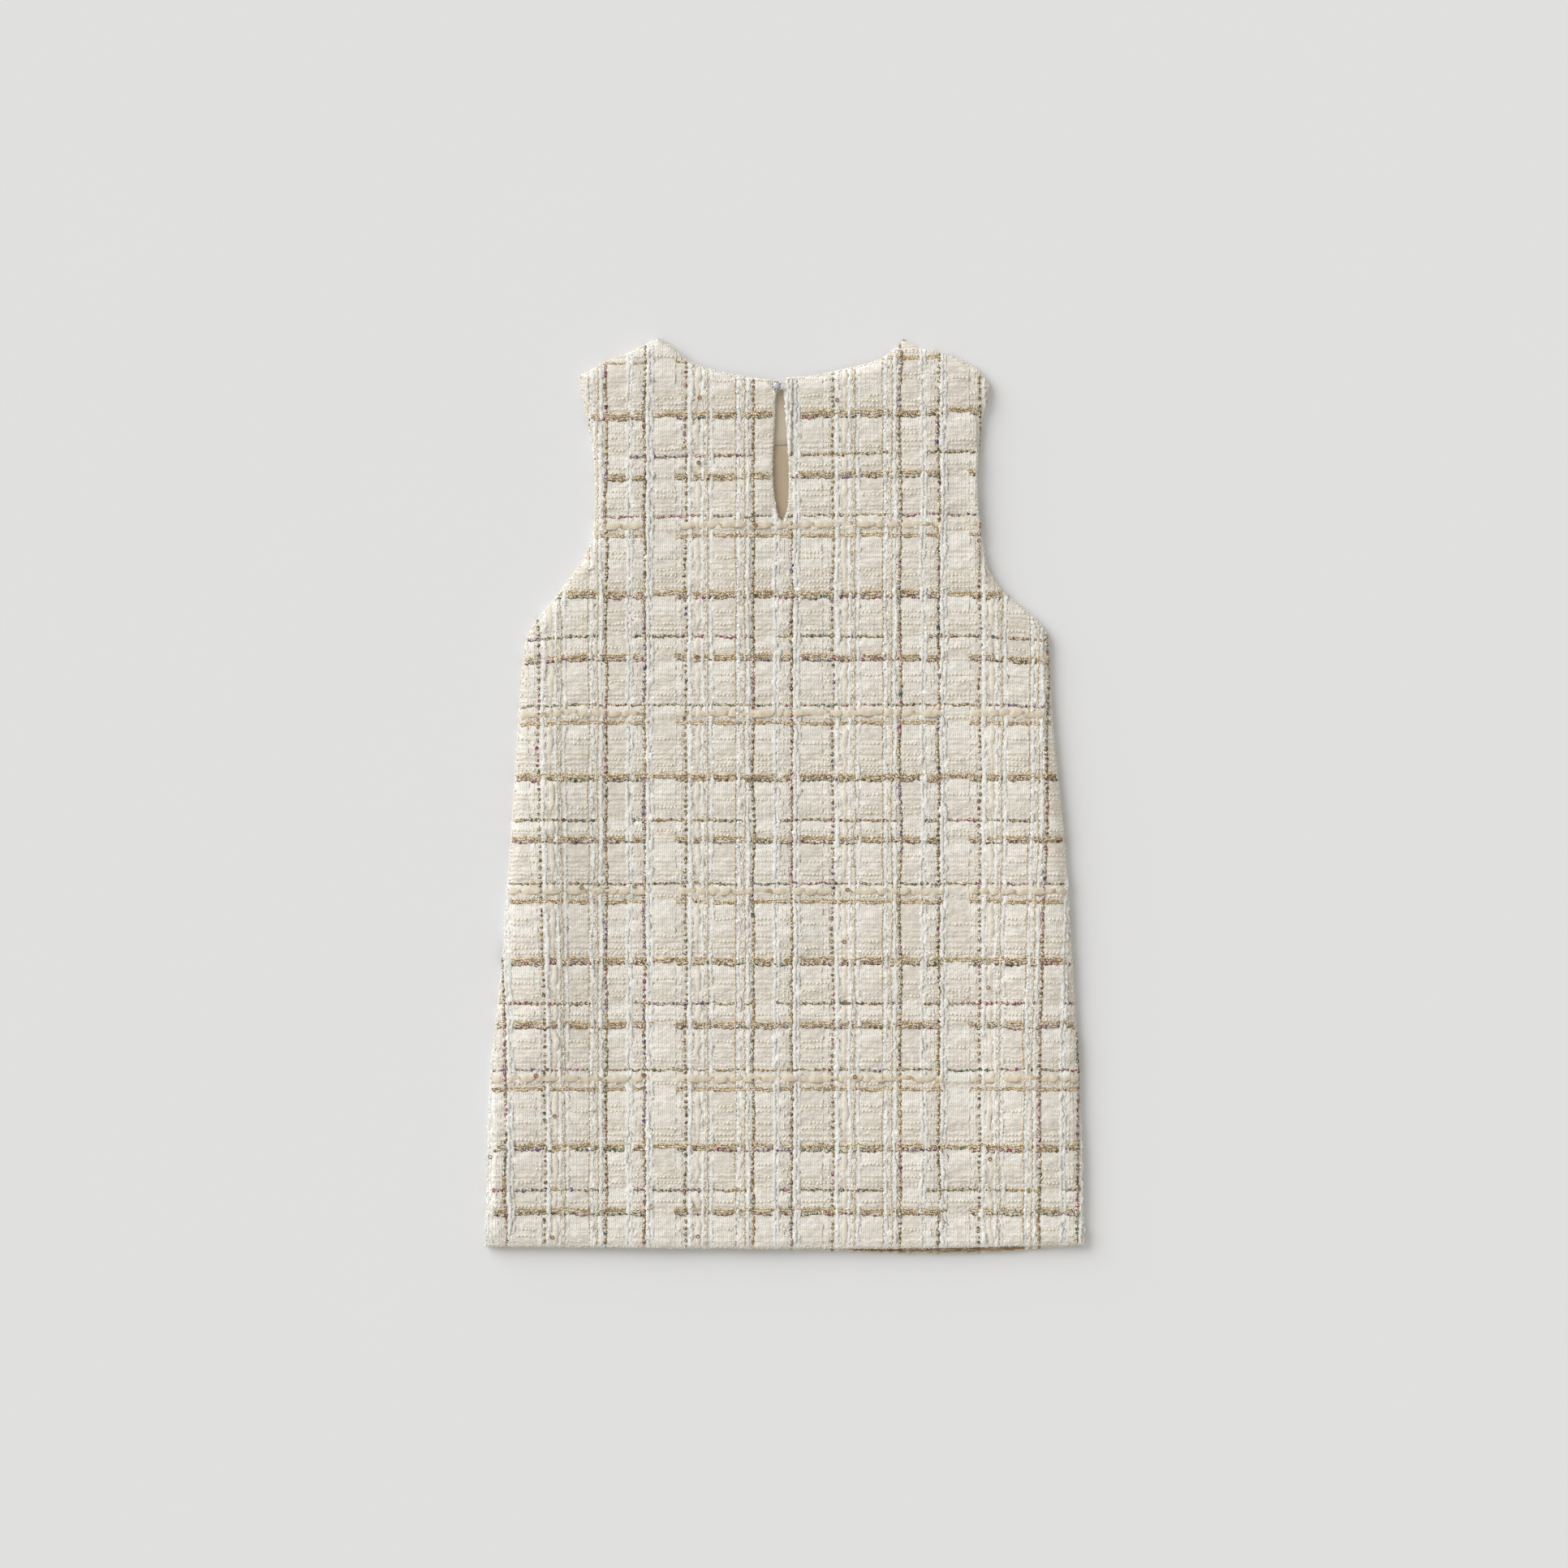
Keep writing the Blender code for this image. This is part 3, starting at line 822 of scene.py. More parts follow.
@dataclass(frozen=True)
class TweedGround:
    """The cream ground of the tweed: fine ribs, soft rovings and tiny loops between the fancy yarns."""

    cream: Colour = (214, 206, 193)
    pale: Colour = (231, 227, 218)
    frost: Colour = (238, 236, 230)
    # shade: the colour of a painted shadow under the rows of cream dots.
    shade: Colour = (192, 180, 160)
    bead_shadow: float = 2.0
    rib_pitch: float = 1.25
    roving_pitch: float = 3.05
    dot_pitch: float = 2.45
    relief: float = 0.2
    painted: bool = False

    def material(self) -> Material:
        """Makes the finish."""
        bench = Bench("tweed_painted" if self.painted else "tweed_ground")
        across, along, _ = bench.split(bench.read(WEAVE).outputs["Vector"])
        masks = bench.make("ShaderNodeSeparateColor", {0: bench.read(DYE).outputs["Color"]}).outputs
        place = bench.millimetres()
        coarse, fine = bench.noise(place, 0.22, 3), bench.noise(place, 1.5, 3, 0.7)
        twist = bench.times(bench.noise(place, 0.3, 2), 9.0)
        ribs, rovings = bench.wave(across, self.rib_pitch, twist), bench.wave(along, self.roving_pitch, twist)
        cells = bench.make("ShaderNodeTexVoronoi", {"Vector": place, "Scale": 0.62, "Randomness": 0.9})
        loops = bench.less(0.85, cells.outputs["Distance"], clamp=True)
        dots = bench.times(bench.wave(across, self.dot_pitch, bench.times(twist, 0.35)), rovings)
        weave = bench.fit(rovings, masks[1], bench.times(ribs, bench.times(masks[0], 0.5)))
        weave = bench.fit(dots, masks[2], weave)
        height = bench.fit(loops, 0.5, bench.fit(fine, 0.6, weave))
        ribbed = bench.fit(coarse, 1.3, bench.fit(masks[0], 0.55, -0.6), clamp=True)
        base = bench.mix(ribbed, linear(self.cream), linear(self.pale))
        bands = [(w.at, w.width * 1.25) for w in WARPS if w.kind is YarnKind.BAND]
        frosted = self._bands(bench, bench.fit(fine, 1.8, bench.less(across, 0.9)), CheckLayout.warp_repeat, bands)
        frosted = bench.times(frosted, bench.fit(coarse, 1.1, 0.35, clamp=True))
        base = bench.mix(frosted, base, linear(self.frost))
        # Painted shadow: the ground darkens patchily towards shade along each row of cream dots.
        beads = [(at, self.bead_shadow) for at in BEAD_ROWS]
        bead_shadow_mask = self._bands(bench, bench.fit(fine, 1.4, bench.less(along, 0.7)), CheckLayout.weft_repeat, beads)
        base = bench.mix(bench.times(bench.times(bead_shadow_mask, coarse), 0.7), base, linear(self.shade))
        # The ground's tone: painted light and shade that follow the bump, lighter on the crests of its loops, ribs,
        # rovings, dots and fine fibres, with real streaks of paler fibre from the flecks.
        flecks = bench.noise(bench.stretched(place, 0.3, 1.3), 1.0, 2, 0.6)
        snow = bench.fit(fine, 2.2, -0.6, clamp=True)
        light = bench.fit(loops, 0.3, bench.fit(weave, 0.3, snow), clamp=True)
        light = bench.fit(light, 0.34, bench.fit(flecks, 0.44, 0.545))
        relief_shade_and_flecks = bench.make("ShaderNodeCombineColor", {0: light, 1: light, 2: light}).outputs[0]
        colour = bench.mix(1.0, base, relief_shade_and_flecks, "MULTIPLY")
        if self.painted:
            colour, height = self._painted(bench, (across, along), colour, height, fine)
        bench.bump(height, self.relief)
        return bench.dress(
            Base_Color=colour, Roughness=0.92, Sheen_Weight=0.12, Sheen_Roughness=0.6, Specular_IOR_Level=0.2
        )

    @staticmethod
    def _bands(bench: Bench, phase: Socket, repeat: float, bands: Sequence[tuple[float, float]]) -> Socket:
        """Makes a mask of the yarns across one repeat.

        Args:
            bench: the material's nodes.
            phase: the place within the repeats.
            repeat: the repeat's length.
            bands: each yarn's place and width.

        Returns:
            A socket that is 1 on the yarns and 0 between them.
        """
        share = bench.math("FRACT", bench.math("DIVIDE", phase, repeat))
        total: object = 0.0
        for at, width in bands:
            off = bench.math("ABSOLUTE", bench.less(share, (at % repeat) / repeat))
            near = bench.math("MINIMUM", off, bench.less(1.0, off))
            on = bench.less(1.6, bench.times(near, repeat * 3.2 / width), clamp=True)
            total = bench.math("MAXIMUM", total, on)
        return total

    def _painted(
        self, bench: Bench, phases: tuple[Socket, Socket], colour: Socket, height: Socket, fine: Socket
    ) -> tuple[Socket, Socket]:
        """Paints the check's yarns over the ground.

        Args:
            bench: the material's nodes.
            phases: the places within the warp and the weft repeats.
            colour: the ground's colour.
            height: the ground's relief.
            fine: fine noise.

        Returns:
            The new colour and relief.
        """
        specks = bench.noise(bench.millimetres(), 0.9, 2, 0.8)
        glitter = bench.make("ShaderNodeValToRGB", {0: specks}).outputs[0]
        stops = glitter.node.color_ramp.elements
        for number, (at, *shade) in enumerate(
            ((0.3, 70, 62, 58), (0.42, 120, 66, 84), (0.5, 160, 132, 78), (0.58, 96, 104, 92), (0.7, 226, 216, 190))
        ):
            stop = stops[number] if number < 2 else stops.new(at)
            stop.position, stop.color = at, (*linear(shade), 1.0)
        cord = bench.mix(fine, linear((168, 142, 92)), linear((226, 206, 160)))
        for is_warp, kinds, shade in (
            (False, (YarnKind.CORD,), cord),
            (False, (YarnKind.GLITTER,), glitter),
            (True, (YarnKind.GOLD, YarnKind.ORANGE), cord),
            (True, (YarnKind.GLITTER,), glitter),
            (True, (YarnKind.BAND, YarnKind.FINE), linear((232, 233, 229))),
        ):
            bands = [(yarn.at, yarn.width) for yarn in (WARPS if is_warp else WEFTS) if yarn.kind in kinds]
            repeat = CheckLayout.warp_repeat if is_warp else CheckLayout.weft_repeat
            mask = self._bands(bench, phases[0 if is_warp else 1], repeat, bands)
            colour = bench.mix(mask, colour, shade)
            height = bench.math("ADD", height, bench.times(mask, 0.9))
        return colour, height


@dataclass(frozen=True)
class YarnFinish:
    """A yarn that carries its dye at its vertices, with fine fibres and, on a few kinds, tiny specks.

    The specks are given as the shares that are dark, light and gold; the light specks are painted glints.
    """

    name: str
    rough: float = 0.9
    metal: float = 0.0
    sheen: float = 0.15
    shine: float = 0.25
    fibre: float = 1.6
    relief: float = 0.25
    spread: float = 0.18
    specks: tuple[float, float, float] = (0.0, 0.0, 0.0)
    grain: float = 2.3

    def material(self) -> Material:
        """Makes the finish."""
        bench = Bench(self.name)
        place = bench.millimetres()
        fibres = bench.noise(place, self.fibre, 3, 0.7)
        dye = bench.read(DYE).outputs["Color"]
        dull = bench.mix(1.0, dye, (1 - self.spread,) * 3, "MULTIPLY")
        colour = bench.mix(bench.fit(fibres, 2.0, -0.5, clamp=True), dull, dye)
        dark, light, gold = self.specks
        if dark:
            cells = bench.make("ShaderNodeTexVoronoi", {"Vector": place, "Scale": self.grain}).outputs["Color"]
            first, second, _ = bench.make("ShaderNodeSeparateColor", {0: cells}).outputs
            # Dark and gold specks are the yarn's own colour; the light ones are painted glints of the metal.
            for test, chosen, limit, speck in (
                ("LESS_THAN", second, gold, Dyes.gold),
                ("GREATER_THAN", first, 1 - light, Dyes.painted_glint),
                ("LESS_THAN", first, dark, Dyes.black),
            ):
                colour = bench.mix(bench.math(test, chosen, limit), colour, speck)
        bench.bump(fibres, self.relief)
        return bench.dress(
            Base_Color=colour,
            Roughness=self.rough,
            Metallic=self.metal,
            Sheen_Weight=self.sheen,
            Sheen_Roughness=0.5,
            Specular_IOR_Level=self.shine,
        )


@dataclass(frozen=True)
class SatinCloth:
    """A smooth plain cloth with a faint weave, such as the facing and the lining behind the slit."""

    name: str
    colour: Colour
    rough: float = 0.55
    pitch: float = 0.42

    def material(self) -> Material:
        """Makes the finish."""
        bench = Bench(self.name)
        place = bench.millimetres()
        x, y, _ = bench.split(place)
        weave = bench.times(bench.wave(x, self.pitch), bench.wave(y, self.pitch))
        cloud = bench.noise(place, 0.09, 2)
        light = linear(self.colour)
        colour = bench.mix(bench.fit(weave, 0.3, bench.times(cloud, 0.6)), light * 0.9, light)
        bench.bump(bench.math("ADD", weave, bench.times(cloud, 3.0)), 0.05)
        return bench.dress(Base_Color=colour, Roughness=self.rough, Sheen_Weight=0.2, Specular_IOR_Level=0.35)


@dataclass(frozen=True)
class HardFinish:
    """A hard glossy finish for stones, beads and sequins."""

    name: str
    colour: Colour
    second: Colour
    metal: float
    rough: float
    clear: float = 0.0
    coat: float = 0.0

    def material(self) -> Material:
        """Makes the finish."""
        bench = Bench(self.name)
        cloud = bench.noise(bench.millimetres(), 1.1, 2)
        colour = bench.mix(bench.fit(cloud, 3.0, -1.0, clamp=True), linear(self.colour), linear(self.second))
        bench.bump(cloud, 0.04)
        return bench.dress(
            Base_Color=colour,
            Roughness=self.rough,
            Metallic=self.metal,
            Transmission_Weight=self.clear,
            Coat_Weight=self.coat,
            Coat_Roughness=0.08,
            IOR=1.55,
        )


@dataclass(frozen=True)
class PaleFloor:
    """The plain pale floor that the dress is laid on."""

    grey: Colour = (225, 225, 225)

    def material(self) -> Material:
        """Makes the finish."""
        bench = Bench("pale_floor")
        light = linear(self.grey)
        colour = bench.mix(bench.noise(bench.millimetres(), 0.01, 2), light * 0.995, light)
        return bench.dress(Base_Color=colour, Roughness=0.95, Specular_IOR_Level=0.1)


@dataclass
class ClothShell:
    """A thin closed cloth on the form of its panel, with soft round rims."""

    name: str
    panel: LaidPanel
    grid: float
    under_grid: float
    rim: float = 1.1
    flat_floor: bool = False
    creases: tuple[Crease, ...] = ()
    crease_edge: float = 7.0
    top_rings: tuple[float, float, float] = (0.14, 0.6, 1.15)
    low_rings: tuple[float, float] = (0.3, 1.6)
    map_split: tuple[float, float] = (0.9, 0.91)
    layout: CheckLayout = field(default_factory=CheckLayout)

    def crease_height(self, x: Array, y: Array) -> Array:
        """Adds up the creases.

        Args:
            x: places across.
            y: places along.

        Returns:
            How far the creases raise the cloth, fading at their ends and near the cloth's edges.
        """
        total = np.zeros(np.shape(x))
        for upper, lower, reach, height in self.creases:
            run = np.array(lower) - upper
            size = float(run @ run)
            t = ((x - upper.x) * run[0] + (y - upper.y) * run[1]) / size
            off = ((x - upper.x) * run[1] - (y - upper.y) * run[0]) / math.sqrt(size)
            total += height * np.exp(-((off / reach) ** 2)) * ease(t / 0.25) * ease((1 - t) / 0.25)
        return total * ease(self.panel.depths.at(x, y) / self.crease_edge)

    def upper(self, x: Array, y: Array) -> Array:
        """The height of the cloth's upper face, before its rim and its weave."""
        return self.panel.tops.at(x, y) - self.panel.rolled(x, y) + self.crease_height(x, y)

    def lower(self, x: Array, y: Array) -> Array:
        """The height of the cloth's lower face, before its rim."""
        if self.flat_floor:
            return np.zeros(np.shape(x)) + self.panel.low[2]
        return self.panel.floors.at(x, y) - self.panel.rolled(x, y) + self.crease_height(x, y)

    def weave_relief(self, x: Array, y: Array) -> Array:
        """How far the weave puffs the upper face. Plain cloth has none."""
        return np.zeros(np.shape(x))

    def rimmed(self, face: Array, other: Array, depth: Array) -> Array:
        """Rounds a face towards the rim.

        Args:
            face: the face's height.
            other: the other face's height.
            depth: how far inside the outline each place lies.

        Returns:
            The face's height with its round edge.
        """
        share = np.clip(1 - depth / self.rim, 0, 1)
        return (face + other) / 2 + (face - other) / 2 * np.sqrt(1 - share**2)

    def surface(self, x: Array, y: Array) -> Array:
        """The finished height of the upper face, on which the yarns lie."""
        face = self.upper(x, y) + self.weave_relief(x, y)
        return self.rimmed(face, self.lower(x, y), np.maximum(self.panel.depths.at(x, y), 0))

    def _inner(self, grid: float, from_edge: float) -> Array:
        """Lays staggered points inside the outline.

        Args:
            grid: how far apart they lie.
            from_edge: how far in they start.

        Returns:
            The points, one in each row.
        """
        low, high = self.panel.low, self.panel.high
        made = []
        for row, y in enumerate(np.arange(low[1], high[1], grid * 0.9)):
            x = np.arange(low[0] + grid * (row % 2) / 2, high[0], grid)
            made.append(np.column_stack([x, np.full(len(x), y)]))
        points = np.concatenate(made)
        return points[self.panel.depths.at(points[:, 0], points[:, 1]) > from_edge]

    def _ring(self, depth: float) -> Array:
        """Moves the outline in by a depth, leaving out what would cross itself.

        Args:
            depth: how far it moves.

        Returns:
            The moved points.
        """
        line = self.panel.outline
        run = unit(np.roll(line, -1, 0) - np.roll(line, 1, 0))
        moved = line + depth * np.stack([-run[:, 1], run[:, 0]], 1)
        return moved[self.panel.signed_depth(*moved.T) > depth * 0.93]

    @staticmethod
    def _triangles(outline: Array, inner: Array) -> Array:
        """Joins the outline and the inner points with counter-clockwise triangles.

        Args:
            outline: the closed outline.
            inner: points inside it.

        Returns:
            Rows of three numbers of points, the outline's first.
        """
        points = [Vector(p) for p in np.concatenate([outline, inner])]
        _, _, faces, origins, _, _ = delaunay_2d_cdt(points, [], [range(len(outline))], 1, 1e-6)
        names = np.array([origin[0] for origin in origins])
        return names[np.array(faces)]

    def build(self, material: Material) -> Object:
        """Makes the cloth.

        Args:
            material: its finish.

        Returns:
            The piece, with its weave's place and its masks stored at its vertices.
        """
        outline, rim = self.panel.outline, self.rim
        edge = len(outline)
        top_inner, low_inner = (
            np.concatenate([*(self._ring(rim * share) for share in rings), self._inner(grid, rim * start)])
            for grid, (*rings, start) in ((self.grid, self.top_rings), (self.under_grid, self.low_rings))
        )
        top, low = self._triangles(outline, top_inner), self._triangles(outline, low_inner)
        flat = np.concatenate([outline, top_inner, low_inner])
        x, y = flat.T
        depth = self.panel.signed_depth(x, y).clip(0)
        depth[:edge] = 0
        upper, lower = self.upper(x, y) + self.weave_relief(x, y), self.lower(x, y)
        is_low = np.arange(len(flat)) >= edge + len(top_inner)
        z = np.where(is_low, self.rimmed(lower, upper, depth), self.rimmed(upper, lower, depth))
        low = np.where(low < edge, low, low + len(top_inner))[:, ::-1]
        faces = np.concatenate([top, low])
        places = ((flat - flat.min(0)) / np.ptp(flat, axis=0))[faces]
        top_end, low_start = self.map_split
        places[: len(top), :, 0] *= top_end
        places[len(top) :, :, 0] = low_start + (1 - low_start) * places[len(top) :, :, 0]
        made = ClothMesh.build(self.name, np.column_stack([flat, z]), faces, material, places.reshape(-1, 2))
        phases = np.column_stack([self.layout.warp_phase(x, y), self.layout.weft_phase(x, y), z])
        ClothMesh.vector(made, WEAVE, phases)
        ClothMesh.colour(made, DYE, self.masks(x, y))
        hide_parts(self.panel.node)
        return made

    def masks(self, x: Array, y: Array) -> Array:
        """How ribbed, how roving-like and how dotted the ground is at each place."""
        return np.full((len(x), 3), 0.4)


@dataclass
class TweedShell(ClothShell):
    """A tweed cloth, puffed between the yarns of its check."""

    puff: float = 0.4
    seed: int = 11

    def _bays(self, x: Array, y: Array) -> tuple[Bays, Bays]:
        """Finds the bays between the warps and between the wefts."""
        return self.layout.columns(x, y, BAYS), self.layout.rows(x, y, ROWS)

    def weave_relief(self, x: Array, y: Array) -> Array:
        """Args:
            x: places across.
            y: places along.

        Returns:
            The height at each place.
        """
        across, along = (np.sin(math.pi * bays.share()).clip(0) for bays in self._bays(x, y))
        rng = np.random.default_rng(self.seed)
        rough = 0.22 * ground_noise(rng, x, y, 9) + 0.16 * ground_noise(rng, x, y, 4.2)
        return self.puff * np.sqrt(across * along) + rough * ease(self.panel.depths.at(x, y) / 3)

    def masks(self, x: Array, y: Array) -> Array:
        """How ribbed, how roving-like and how dotted the ground is at each place, bay by bay.

        Args:
            x: places across.
            y: places along.

        Returns:
            The three masks, one row for each place.
        """
        columns, rows = self._bays(x, y)
        along, luck = rows.share(), chance(columns.counted(len(BAYS) - 1), rows.counted(len(ROWS) - 1))
        below = ease((0.45 + 0.35 * luck - along) / 0.25)
        ribbed = 0.2 + 0.8 * below * (luck > 0.25)
        roving = 0.3 + 0.5 * (1 - below) * (luck < 0.7)
        return np.column_stack([ribbed, roving, 0.25 + 0.75 * ease((along - 0.6) / 0.2) + 0.3 * (luck > 0.7)])


class Dyes:
    """The colours of the yarns, as linear light."""

    white = linear((235, 233, 226))
    cool = linear((227, 224, 216))
    cream = linear((230, 222, 206))
    ground = linear((222, 214, 200))
    cord = linear((198, 165, 116))
    cord_dark = linear((152, 118, 76))
    cord_light = linear((224, 206, 170))
    orange = linear((214, 180, 134))
    gold = linear((190, 160, 102))
    slub = linear((220, 207, 184))
    # The painted shade in the creases between slub leaves and in the hollows where puff petals end.
    painted_crease_shade = linear((176, 150, 110))
    # Magenta, rust, ochre, olive, teal, violet and brown.
    glitter = linear(
        ((158, 52, 116), (132, 72, 56), (172, 130, 50), (98, 94, 42), (52, 98, 84), (104, 66, 140), (106, 76, 46))
    )
    black = linear((66, 54, 44))
    # The colour of the painted glints on the metallic yarns.
    painted_glint = linear((240, 233, 216))


@dataclass
class Skein:
    """Strands of one kind of yarn, gathered into one mesh."""

    name: str
    sides: int
    flat: bool = False
    ends: tuple[float, float] = (0.12, 0.75)
    lines: list[tuple[Array, Array, Array, Array, Array]] = field(default_factory=list)

    def add(self, line: Array, half_width: Array, half_height: Array, dye: Array, lumps: Array | None = None) -> None:
        """Adds a strand.

        Args:
            line: the points of its centreline.
            half_width: half its width at each point.
            half_height: half its height at each point.
            dye: its colour at each point of each side, in that order.
            lumps: how far each point of each side stands out, where 1 is even.
        """
        taper = np.ones(len(line))
        taper[[0, -1]], taper[[1, -2]] = self.ends
        uneven_sides = np.ones((len(line), self.sides)) if lumps is None else lumps
        self.lines.append((line, half_width * taper, half_height * taper, dye, uneven_sides))

    def build(self, material: Material) -> Object:
        """Makes the mesh: a tapering tube for each strand, laid side by side on the bake map.

        Args:
            material: the yarn's finish.

        Returns:
            The piece.
        """
        sides, points, faces, places, dyes, first = self.sides, [], [], [], [], 0
        around = np.radians(FLAT_PROFILE) if self.flat else np.arange(sides) * TURN / sides + math.pi / 2
        longest = max(len(line) for line, *_ in self.lines)
        for row, (line, wide, high, dye, lumps) in enumerate(self.lines):
            run = unit(np.gradient(line, axis=0))
            side = unit(np.column_stack([run[:, 1], -run[:, 0], np.zeros(len(line))]))
            across, up = (wide[:, None] * np.cos(around) * lumps), (high[:, None] * np.sin(around) * lumps)
            ring = line[:, None] + side[:, None] * across[:, :, None] + np.cross(side, run)[:, None] * up[:, :, None]
            points.append(ring.reshape(-1, 3))
            dyes.append(dye.reshape(-1, 3))
            quads = tube_faces(len(line), sides)
            faces.append(quads + first)
            i, k = np.divmod(np.arange(len(quads)), sides)
            low, top = ((row + 0.05 + 0.9 * step / sides) / len(self.lines) for step in (k, k + 1))
            start, end = i / longest, (i + 1) / longest
            places.append(np.stack([start, low, end, low, end, top, start, top], 1).reshape(-1, 2))
            first += len(line) * sides
        points, faces, places = (np.concatenate(parts) for parts in (points, faces, places))
        made = ClothMesh.build(self.name, points, faces, material, places)
        ClothMesh.colour(made, DYE, np.concatenate(dyes))
        return made


def plied(rng: np.random.Generator, count: int, sides: int) -> Array:
    """Draws one number for each point of each side of a strand, which turn round it like plies."""
    i, k = np.indices((count, sides))
    return rng.random(count + sides * 2)[(i + 2 * k) // 2][:, :, None]


# Each kind of yarn: its piece, how many sides its strands have, whether they are flat, and its finish.
SPUN = {
    YarnKind[kind]: (piece, sides, is_flat, YarnFinish(*finish))
    for kind, piece, sides, is_flat, *finish in (
        ("GLITTER", "glitter_yarns", 5, False, "glitter_yarn", 0.45, 0.1, 0.0, 0.5, 1.6, 0.3, 0.18, (0.27, 0.15, 0.12)),
        ("BAND", "fluffy_white_bands", 6, True, "fluffy_white_yarn", 0.95, 0.0, 0.3, 0.25, 1.1, 0.32, 0.1),
        ("FINE", "fine_white_yarns", 4, False, "fine_white_yarn", 0.85, 0.0, 0.2, 0.25, 1.4, 0.4, 0.14),
        ("GOLD", "gold_yarns", 4, False, "gold_yarn", 0.55, 0.05, 0.0, 0.4, 1.6, 0.3, 0.18, (0.06, 0.3, 0.3)),
        ("PUFF", "puff_yarns", 6, True, "puff_yarn", 0.95, 0.0, 0.25, 0.25, 0.8, 0.5, 0.14),
        ("CORD", "gold_cords", 4, False, "gold_cord", 0.55, 0.05, 0.0, 0.4, 1.6, 0.3, 0.18, (0.15, 0.24, 0.3)),
        ("SLUB", "slub_yarns", 6, True, "slub_yarn", 0.92, 0.0, 0.25, 0.25, 0.7, 0.4, 0.14),
    )
}


@dataclass
class FancyYarns:
    cloth: ClothShell
    layout: CheckLayout = field(default_factory=CheckLayout)
    seed: int = 5
    edge: float = 0.08
    warp_margin: float = 6.0
    weft_margin: float = 8.0
    wide_band: float = 3.5
    hue_change: float = 0.08
    skeins: dict[YarnKind, Skein] = field(init=False)

    def __post_init__(self) -> None:
        """Sets out one skein for each kind of yarn. Orange yarn goes with the gold."""
        self.rng = np.random.default_rng(self.seed)
        self.skeins = {kind: Skein(name, sides, flat) for kind, (name, sides, flat, _) in SPUN.items()}
        self.skeins[YarnKind.ORANGE] = self.skeins[YarnKind.GOLD]

    def _stray(self, along: Array, span: float, depth: float) -> Array:
        """Makes a soft, irregular line from the check's own source of chance."""
        return uneven(self.rng, along, span, depth)

    def _beat(self, along: Array, pitch: float, span: float, depth: float, lead: float = 0.0) -> Array:
        """Makes a beat from -1 to 1 along a strand, of about this pitch."""
        return np.sin(along * TURN / pitch + lead + self._stray(along, span, depth))

    def _runs(self, x: Array, y: Array, least: int = 5) -> Iterator[slice]:
        """Yields the parts of a line that lie on the cloth.

        Args:
            x: the line's places across.
            y: its places along.
            least: the fewest points that are worth a strand.
        """
        on = np.concatenate([[False], self.cloth.panel.depths.at(x, y) > self.edge, [False]])
        ends = np.flatnonzero(on[1:] != on[:-1])
        for start, end in zip(ends[::2], ends[1::2], strict=True):
            if end - start >= least:
                yield slice(start, end)

    def _lay(
        self, kind: YarnKind, x: Array, y: Array, lift: Array, wide: Array, high: Array, dye: Array, lump: float = 0.0
    ) -> None:
        """Lays one strand on the cloth, cut where the cloth ends.

        Args:
            kind: the skein it goes to.
            x: its places across.
            y: its places along.
            lift: how far its centre lies over the cloth.
            wide: half its width.
            high: half its height.
            dye: its colour at each point of each side.
            lump: how lumpy it is, from 0 to 1.
        """
        is_thick = kind in (YarnKind.GLITTER, YarnKind.SLUB, YarnKind.CORD)
        lumps = 1 + lump * self.rng.normal(0, 0.5, (len(x), self.skeins[kind].sides)).clip(-0.9, 1.3)
        for part in self._runs(x, y):
            if is_thick and x[part].max() < BARE_SHOULDER.x and y[part].min() > BARE_SHOULDER.y:
                continue
            line = np.column_stack([x[part], y[part], self.cloth.surface(x[part], y[part]) + lift[part]])
            self.skeins[kind].add(line, wide[part], high[part], dye[part], lumps[part])

    def _plain(self, kind: YarnKind, count: int, light: Array, dark: Array, span: float) -> Array:
        """Dyes a strand that drifts softly between two colours.

        Args:
            kind: the skein, for its number of sides.
            count: how many points the strand has.
            light: the first colour.
            dark: the second colour.
            span: how many points a drift takes.

        Returns:
            The colour at each point of each side.
        """
        share = ease(0.5 + self._stray(np.arange(count), span, 0.5))[:, None, None]
        return (light * share + dark * (1 - share)) * np.ones((1, self.skeins[kind].sides, 1))

    def _glitter(self, count: int, bare: float = 1.0, step: float = 0.85) -> Array:
        """Dyes a glitter strand: hues change every centimetre or so, with pale gaps between its dashes.

        Args:
            count: how many points the strand has.
            bare: how dark it is overall, where 0 is as much gap as dash.
            step: how far apart its points are.

        Returns:
            The colour at each point of each side.
        """
        part = np.cumsum(self.rng.random(count) < self.hue_change)
        base = Dyes.glitter[self.rng.integers(0, len(Dyes.glitter), part[-1] + 1)[part]][:, None]
        dash = ease(2.2 * self._beat(step * np.arange(count), 3.7, 13, 2.4) + bare)[:, None, None]
        shade = self.rng.uniform(0.6, 1.2, (count, self.skeins[YarnKind.GLITTER].sides, 1))
        return (base * shade * dash + Dyes.cord_light * 0.92 * (1 - dash)).clip(0, 1)

    def _twist(self, kind: YarnKind, count: int, light: Array, dark: Array, share: float) -> Array:
        """Dyes a plied strand, whose light and dark parts turn round it."""
        is_dark = plied(self.rng, count, self.skeins[kind].sides) < share
        return np.where(is_dark, dark, light) * self.rng.uniform(0.9, 1.05, (count, 1, 1))

    def lay_warps(self) -> None:
        """Lays every warp yarn, from the hem to the neck."""
        low, high = self.cloth.panel.low, self.cloth.panel.high
        steps = {YarnKind.GLITTER: 0.85, YarnKind.BAND: 1.25, YarnKind.PUFF: 1.2}
        for number, warp in enumerate(WARPS):
            y = np.arange(low[1], high[1], steps.get(warp.kind, 1.4))
            bounds = low[0] - self.warp_margin, high[0] + self.warp_margin
            for repeat, even in self.layout.warps_between(*bounds, warp.at):
                x = even + self.layout.warp_shift(np.full(len(y), even), y)
                x = x + self._stray(y, 60, 0.45) + self._stray(y, 11, 0.16)
                self._warp(number, repeat, x, y)

